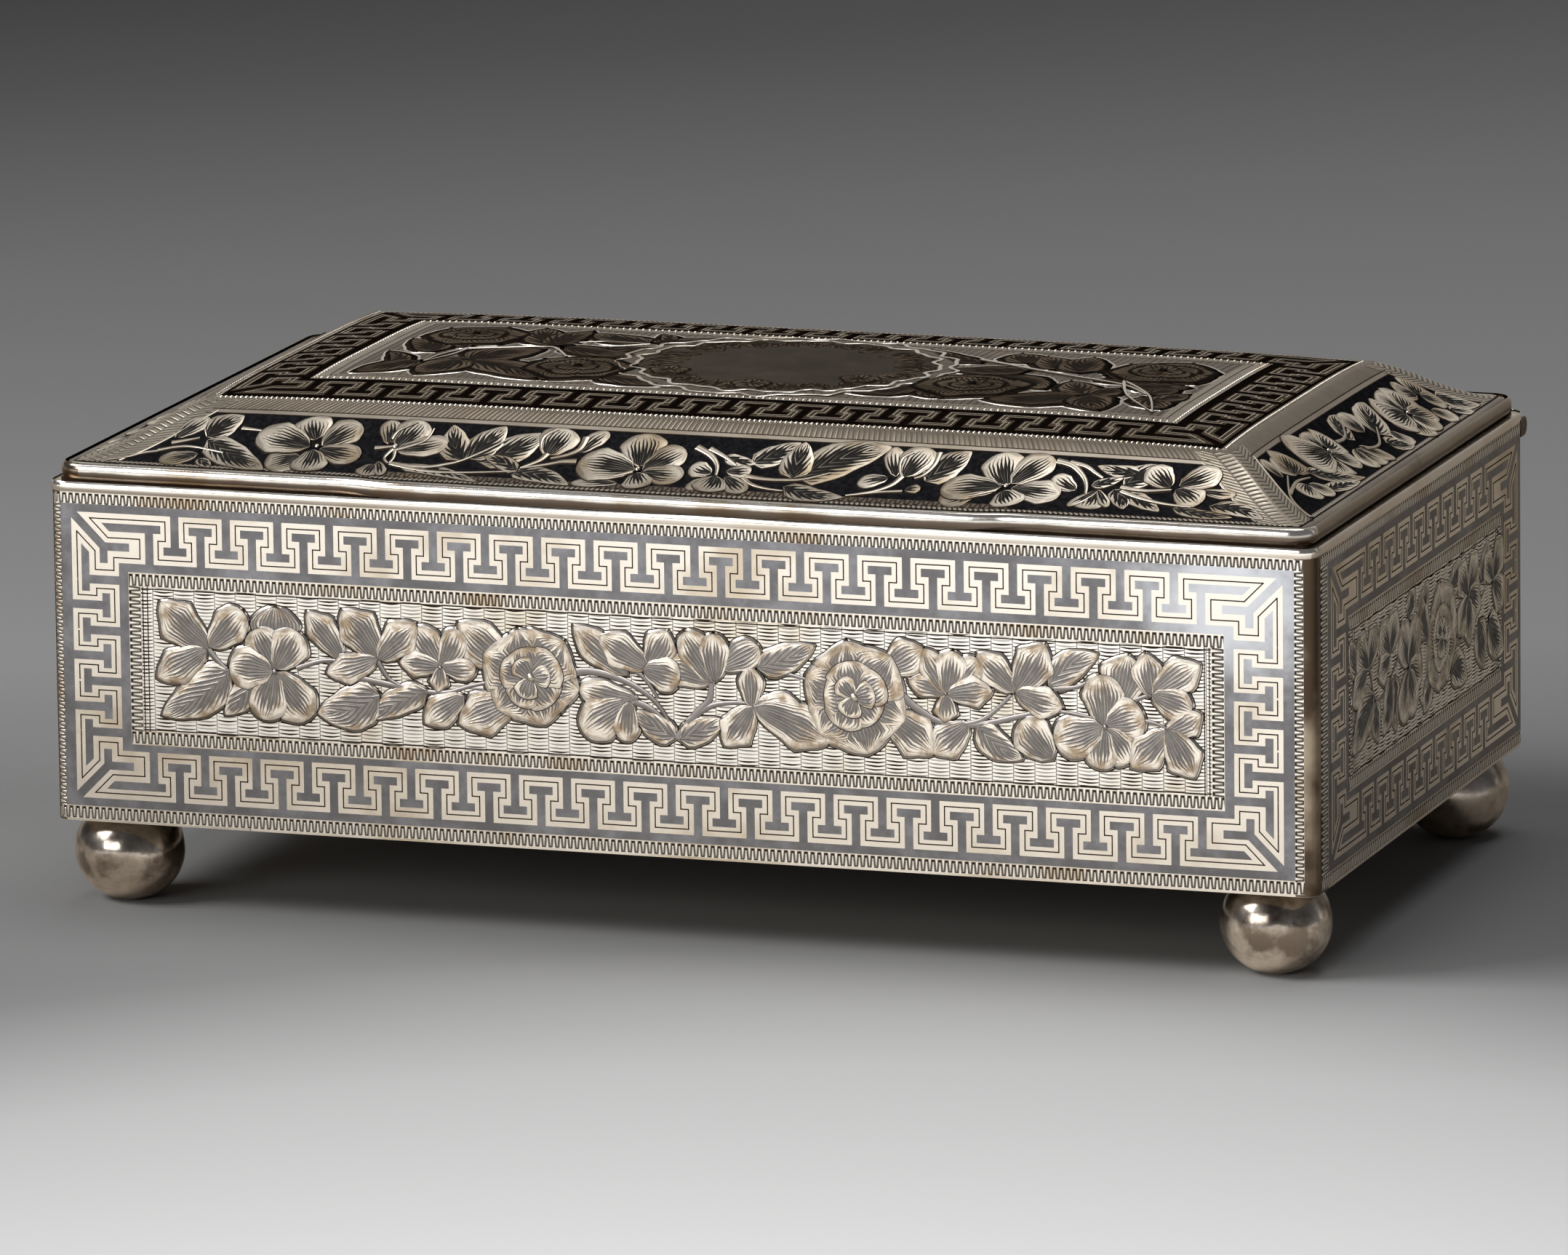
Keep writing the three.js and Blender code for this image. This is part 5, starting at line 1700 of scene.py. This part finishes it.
# The lid's top: key band, beaded border, hatched field, garland and bare oval
def dress_top():
    skin = Sheet()
    edge = BAND_EDGE[0]
    side_edge = BAND_EDGE[1]
    x1 = CREASE_X - side_edge
    y1 = CREASE_Y - edge
    top_plane(skin, 61, 29, x1, y1, 0.04, "top_niello")
    x2 = x1 - BAND_DEPTH
    y2 = y1 - BAND_DEPTH
    top_plane(skin, 50, 20, x2, y2, 0.08, "top_field")
    build("lid_top_skin", skin, place_top, "lid", flip=False)

    border = Sheet()
    frame_strips(border, (-x2, -y2), (x2, y2), DOTS_DEPTH, DOTS_DEPTH, 0.11, "top_dots", step=2.0)
    x3 = x2 - DOTS_DEPTH
    y3 = y2 - DOTS_DEPTH
    frame_strips(border, (-x3, -y3), (x3, y3), 0.14, 0.14, 0.12, "line", step=2.0)
    frame_strips(border, (-x3 + 0.14, -y3 + 0.14), (x3 - 0.14, y3 - 0.14), 0.8, 0.5, 0.11, "lid_plain",
                 step=2.0)
    dots = []
    for half_x, half_y, turned in ((x2 - 0.45, y2 - 0.45, False), (y2 - 0.45, x2 - 0.45, True)):
        count = round(2 * half_x / 0.8)
        for k in range(count + 1):
            along = -half_x + 2 * half_x * k / count
            for across in (-half_y, half_y):
                dots.append((across, along) if turned else (along, across))
    beads(border, dots, 0.18, 0.13, "lid_bead")
    build("lid_top_beaded_border", border, place_top, "lid", flip=False)

    key = Sheet()
    low = (-x1 + 1.1, -y1 + 1.15)
    high = (x1 - 1.1, y1 - 1.15)
    frame_strips(key, low, high, TOP_KEY_DEPTH, TOP_KEY_DEPTH, 0.09, "top_key", step=4.0)
    row = (high[0] - TOP_KEY_ROW[0], TOP_KEY_ROW[1])
    column = (high[1] - TOP_KEY_COLUMN[0], TOP_KEY_COLUMN[1])
    key_frame(key, low, high, TOP_KEY_DEPTH, *row, *column, 0.13, "top_niello", "top_line",
              (0.15, (-0.3, 0.3)))
    build("lid_top_greek_key", key, place_top, "lid", flip=False, cut=4.0)

    flowers = Sheet()
    halo = ("top_edge", 0.34, 0.1, 0.55, "top_gap", "top_niello")
    garland(flowers, TOP_GARLAND, "top_blade", "top_edge", halo, low=0.1)
    centre = OVAL_CENTRE
    draw_oval(flowers, centre, *OVAL_HALF)
    for x, y in ((-12.6, -6.4), (10.2, -6.0), (-1.0, -11.6)):
        for k in range(5):
            angle = 0.5 + 2 * math.pi * k / 5
            tip = (x + 2.5 * math.cos(angle), y + 2.5 * math.sin(angle))
            blade(flowers, (x, y), tip, 2.3, 0.14 + 0.02 * k, "top_blade", rows=7, columns=4)
    build("lid_top_garland", flowers, place_top, "lid", flip=False)

    bare = Sheet()

    def oval(i, j):
        angle = 2 * math.pi * i
        return (centre[0] + (OVAL_HALF[0] - 0.7) * j * math.cos(angle),
                centre[1] + (OVAL_HALF[1] - 0.7) * j * math.sin(angle), 0.1)
    bare.grid(64, 8, "top_bare", oval, lambda i, j: (i, j))
    build("lid_top_bare_oval", bare, place_top, "lid", flip=False)


def dress_case():
    end_tee = HALF_DEPTH - WALL_KEY_SIDE - END_ROW_STEPS / 2 * KEY_HALF_PITCH
    for side in SIDES:
        if side in ("front", "back"):
            dress_wall(side, FRONT_GARLAND, WALL_ROW_KEY, WALL_COLUMN_KEY)
        else:
            dress_wall(side, END_GARLAND, (end_tee, END_ROW_STEPS), WALL_COLUMN_KEY)


def dress_lid():
    for side in SIDES:
        dress_skirt(side, FRONT_SKIRT_GARLAND if side in ("front", "back") else END_SKIRT_GARLAND)
    dress_lip()
    dress_top()


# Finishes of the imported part's own faces
def finish_nodes():
    plain = plain_silver("silver sheet", SILVER, "a88f66", 0.28)
    # The hinge: darker silver with tarnish in patches, the darkness being painted shade at the back of the
    # casket
    hinge = plain_silver("dulled silver of the hinge", "7a6f62", "3a2f26", 0.4, 0.8, (0.4, 0.6))
    dark = lid_sheet()
    for name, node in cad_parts.items():
        if name.endswith("_foot"):
            material = FINISHES["foot"]
        elif "rim" in name:
            material = FINISHES["gilt"]
        elif "hinge" in name:
            material = hinge
        elif "lip" in name:
            # The end lips get a darker copy of the lip's silver, as painted shade
            material = FINISHES["lip" if "front" in name or "back" in name else "lip_end"]
        elif "skirt" in name or "top_panel" in name:
            material = dark
        else:
            material = plain
        node.data.materials.clear()
        node.data.materials.append(material)


# Ball feet: hand-raised balls, slightly dented, worn flat below
def dress_feet():
    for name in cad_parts:
        if not name.endswith("_foot"):
            continue
        low, high = box_mm(name)
        centre_x = (low[0] + high[0]) / 2
        centre_y = (low[1] + high[1]) / 2
        radius = (high[0] - low[0]) / 2
        middle = FOOT_HALF_HEIGHT - FOOT_WEAR
        start = -math.asin(1 - FOOT_WEAR / FOOT_HALF_HEIGHT)
        end = math.asin(min(1, (high[2] - middle) / FOOT_HALF_HEIGHT))
        wave = random.uniform(0, 6)
        ball = Sheet()

        def shape(i, j):
            turn = 2 * math.pi * i
            angle = start + (end - start) * j
            dent = 0.05 * math.sin(2 * turn + wave + 3 * angle) + 0.04 * math.sin(5 * turn - 4 * angle + wave)
            reach = (radius - 0.09 + dent) * math.cos(angle)
            level = middle + FOOT_HALF_HEIGHT * math.sin(angle)
            return (centre_x + reach * math.cos(turn), centre_y + reach * math.sin(turn), level)

        def under(i, j):
            return (*shape(i, 0)[:2], 0.0) if j else (centre_x, centre_y, 0.0)

        def above(i, j):
            return (centre_x, centre_y, high[2]) if j else (*shape(i, 1)[:2], high[2])
        for rows, part in ((32, shape), (1, under), (1, above)):
            ball.grid(64, rows, "foot", part, lambda i, j: (i, j))
        piece = build(name + "_ball", ball, lambda x, y, z: (x, y, z), "case", flip=False)
        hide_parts(name)


# Places on the floor in millimetres: to the photo's right, and away along its line of sight
def floor_places(finish):
    place = finish.node("ShaderNodeTexCoord", {}, output=3)
    azimuth = math.radians(CAMERA_AZIMUTH)
    right = (1000 * math.cos(azimuth), 1000 * math.sin(azimuth), 0)
    away = (-1000 * math.sin(azimuth), 1000 * math.cos(azimuth), 0)

    def reach(axis):
        return finish.node("ShaderNodeVectorMath", {0: place, 1: axis}, output=1, operation="DOT_PRODUCT")
    return reach(right), reach(away)


# Grey paper with painted light and shadow: dark far behind where the light falls off, a painted shadow of
# mid-grey round the casket, a painted pool of light nearly white in front, and a brighter set of tones seen
# in the silver's reflections
def paper():
    finish = Finish("grey paper sweep", roughness=0.9, metallic=0.0)
    finish.surface.inputs["Specular IOR Level"].default_value = 0.1
    right, away = floor_places(finish)
    # Painted shade: the tones darken towards both sides in front of the casket, and further back they slant
    # across the floor
    far = finish.step(away, 150, 450)
    near = finish.step(away, 20, -40)
    beside = finish.sum("DIVIDE", finish.sum("ABSOLUTE", right), 85)
    edge = finish.times(finish.sum("POWER", beside, 2.0), 22)
    edge = finish.times(finish.sum("MINIMUM", edge, 40), near)
    shift = finish.times(finish.times(finish.plus(right, 88), -0.32), far)
    depth = finish.plus(finish.plus(away, edge), shift)
    mirrored = finish.node("ShaderNodeLightPath", {}, output="Is Glossy Ray")
    tone = finish.blend(mirrored, finish.ramp(depth, PAINTED_FLOOR_LIGHT_AND_SHADOW), finish.ramp(depth, PAINTED_MIRRORED_FLOOR_LIGHT))
    return finish.paint(tone)


# Floor that sweeps up into a backdrop
def stage():
    rows = [(-3.0 + step * 0.06, 0.0) for step in range(60)]
    radius = 1.2
    for step in range(1, 25):
        angle = math.pi / 2 * step / 24
        rows.append((0.54 + radius * math.sin(angle), radius * (1 - math.cos(angle))))
    rows.append((0.54 + radius, 4.0))
    verts = [(x, y, z) for y, z in rows for x in (-4.0, 4.0)]
    faces = [(2 * k, 2 * k + 1, 2 * k + 3, 2 * k + 2) for k in range(len(rows) - 1)]
    mesh = bpy.data.meshes.new("backdrop")
    mesh.from_pydata(verts, [], faces)
    for polygon in mesh.polygons:
        polygon.use_smooth = True
    sweep = bpy.data.objects.new("backdrop", mesh)
    bpy.context.scene.collection.objects.link(sweep)
    mesh.materials.append(paper())


def lamp(name, place, target, size, power, tint=(1, 1, 1)):
    data = bpy.data.lights.new(name, "AREA")
    data.shape = "RECTANGLE"
    data.size = size[0]
    data.size_y = size[1]
    data.energy = power
    data.color = tint
    light = bpy.data.objects.new(name, data)
    bpy.context.scene.collection.objects.link(light)
    light.location = place
    light.rotation_euler = (Vector(target) - Vector(place)).to_track_quat("-Z", "Y").to_euler()


def light_scene():
    lamp("key light", (-1.7, -1.0, 1.7), (0, 0, 0.05), (1.3, 1.0), 66)
    lamp("top light", (0.2, 0.4, 2.6), (0, 0, 0.05), (1.8, 1.2), 30)
    lamp("front fill", (-0.9, -2.3, 0.75), (0, 0, 0.03), (1.8, 0.8), 26, (1, 0.98, 0.95))
    world = bpy.data.worlds.new("studio")
    bpy.context.scene.world = world
    world.use_nodes = True
    world.node_tree.nodes["Background"].inputs[0].default_value = colour("5c5c5e")
    world.node_tree.nodes["Background"].inputs[1].default_value = 1.2


# Camera found from the casket's corners in the photograph
def place_camera():
    azimuth = math.radians(CAMERA_AZIMUTH)
    elevation = math.radians(CAMERA_ELEVATION)
    roll = math.radians(CAMERA_ROLL)
    level_ahead = Vector((-math.sin(azimuth), math.cos(azimuth), 0))
    ahead = math.cos(elevation) * level_ahead - math.sin(elevation) * Vector((0, 0, 1))
    level = ahead.cross(Vector((0, 0, 1))).normalized()
    upright = level.cross(ahead)
    right = math.cos(roll) * level + math.sin(roll) * upright
    up = math.cos(roll) * upright - math.sin(roll) * level
    data = bpy.data.cameras.new("camera")
    data.sensor_width = SENSOR_WIDTH
    data.lens = FOCAL_PIXELS / PHOTO_WIDTH * SENSOR_WIDTH
    data.clip_start = 0.05
    camera = bpy.data.objects.new("camera", data)
    bpy.context.scene.collection.objects.link(camera)
    rotation = Matrix((right, up, -ahead)).transposed()
    camera.matrix_world = Matrix.Translation(Vector(CAMERA_PLACE) / 1000) @ rotation.to_4x4()
    bpy.context.scene.camera = camera


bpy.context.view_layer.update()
finish_nodes()
dress_case()
dress_lid()
dress_feet()
stage()
light_scene()
place_camera()
bpy.context.scene.view_settings.view_transform = "Standard"
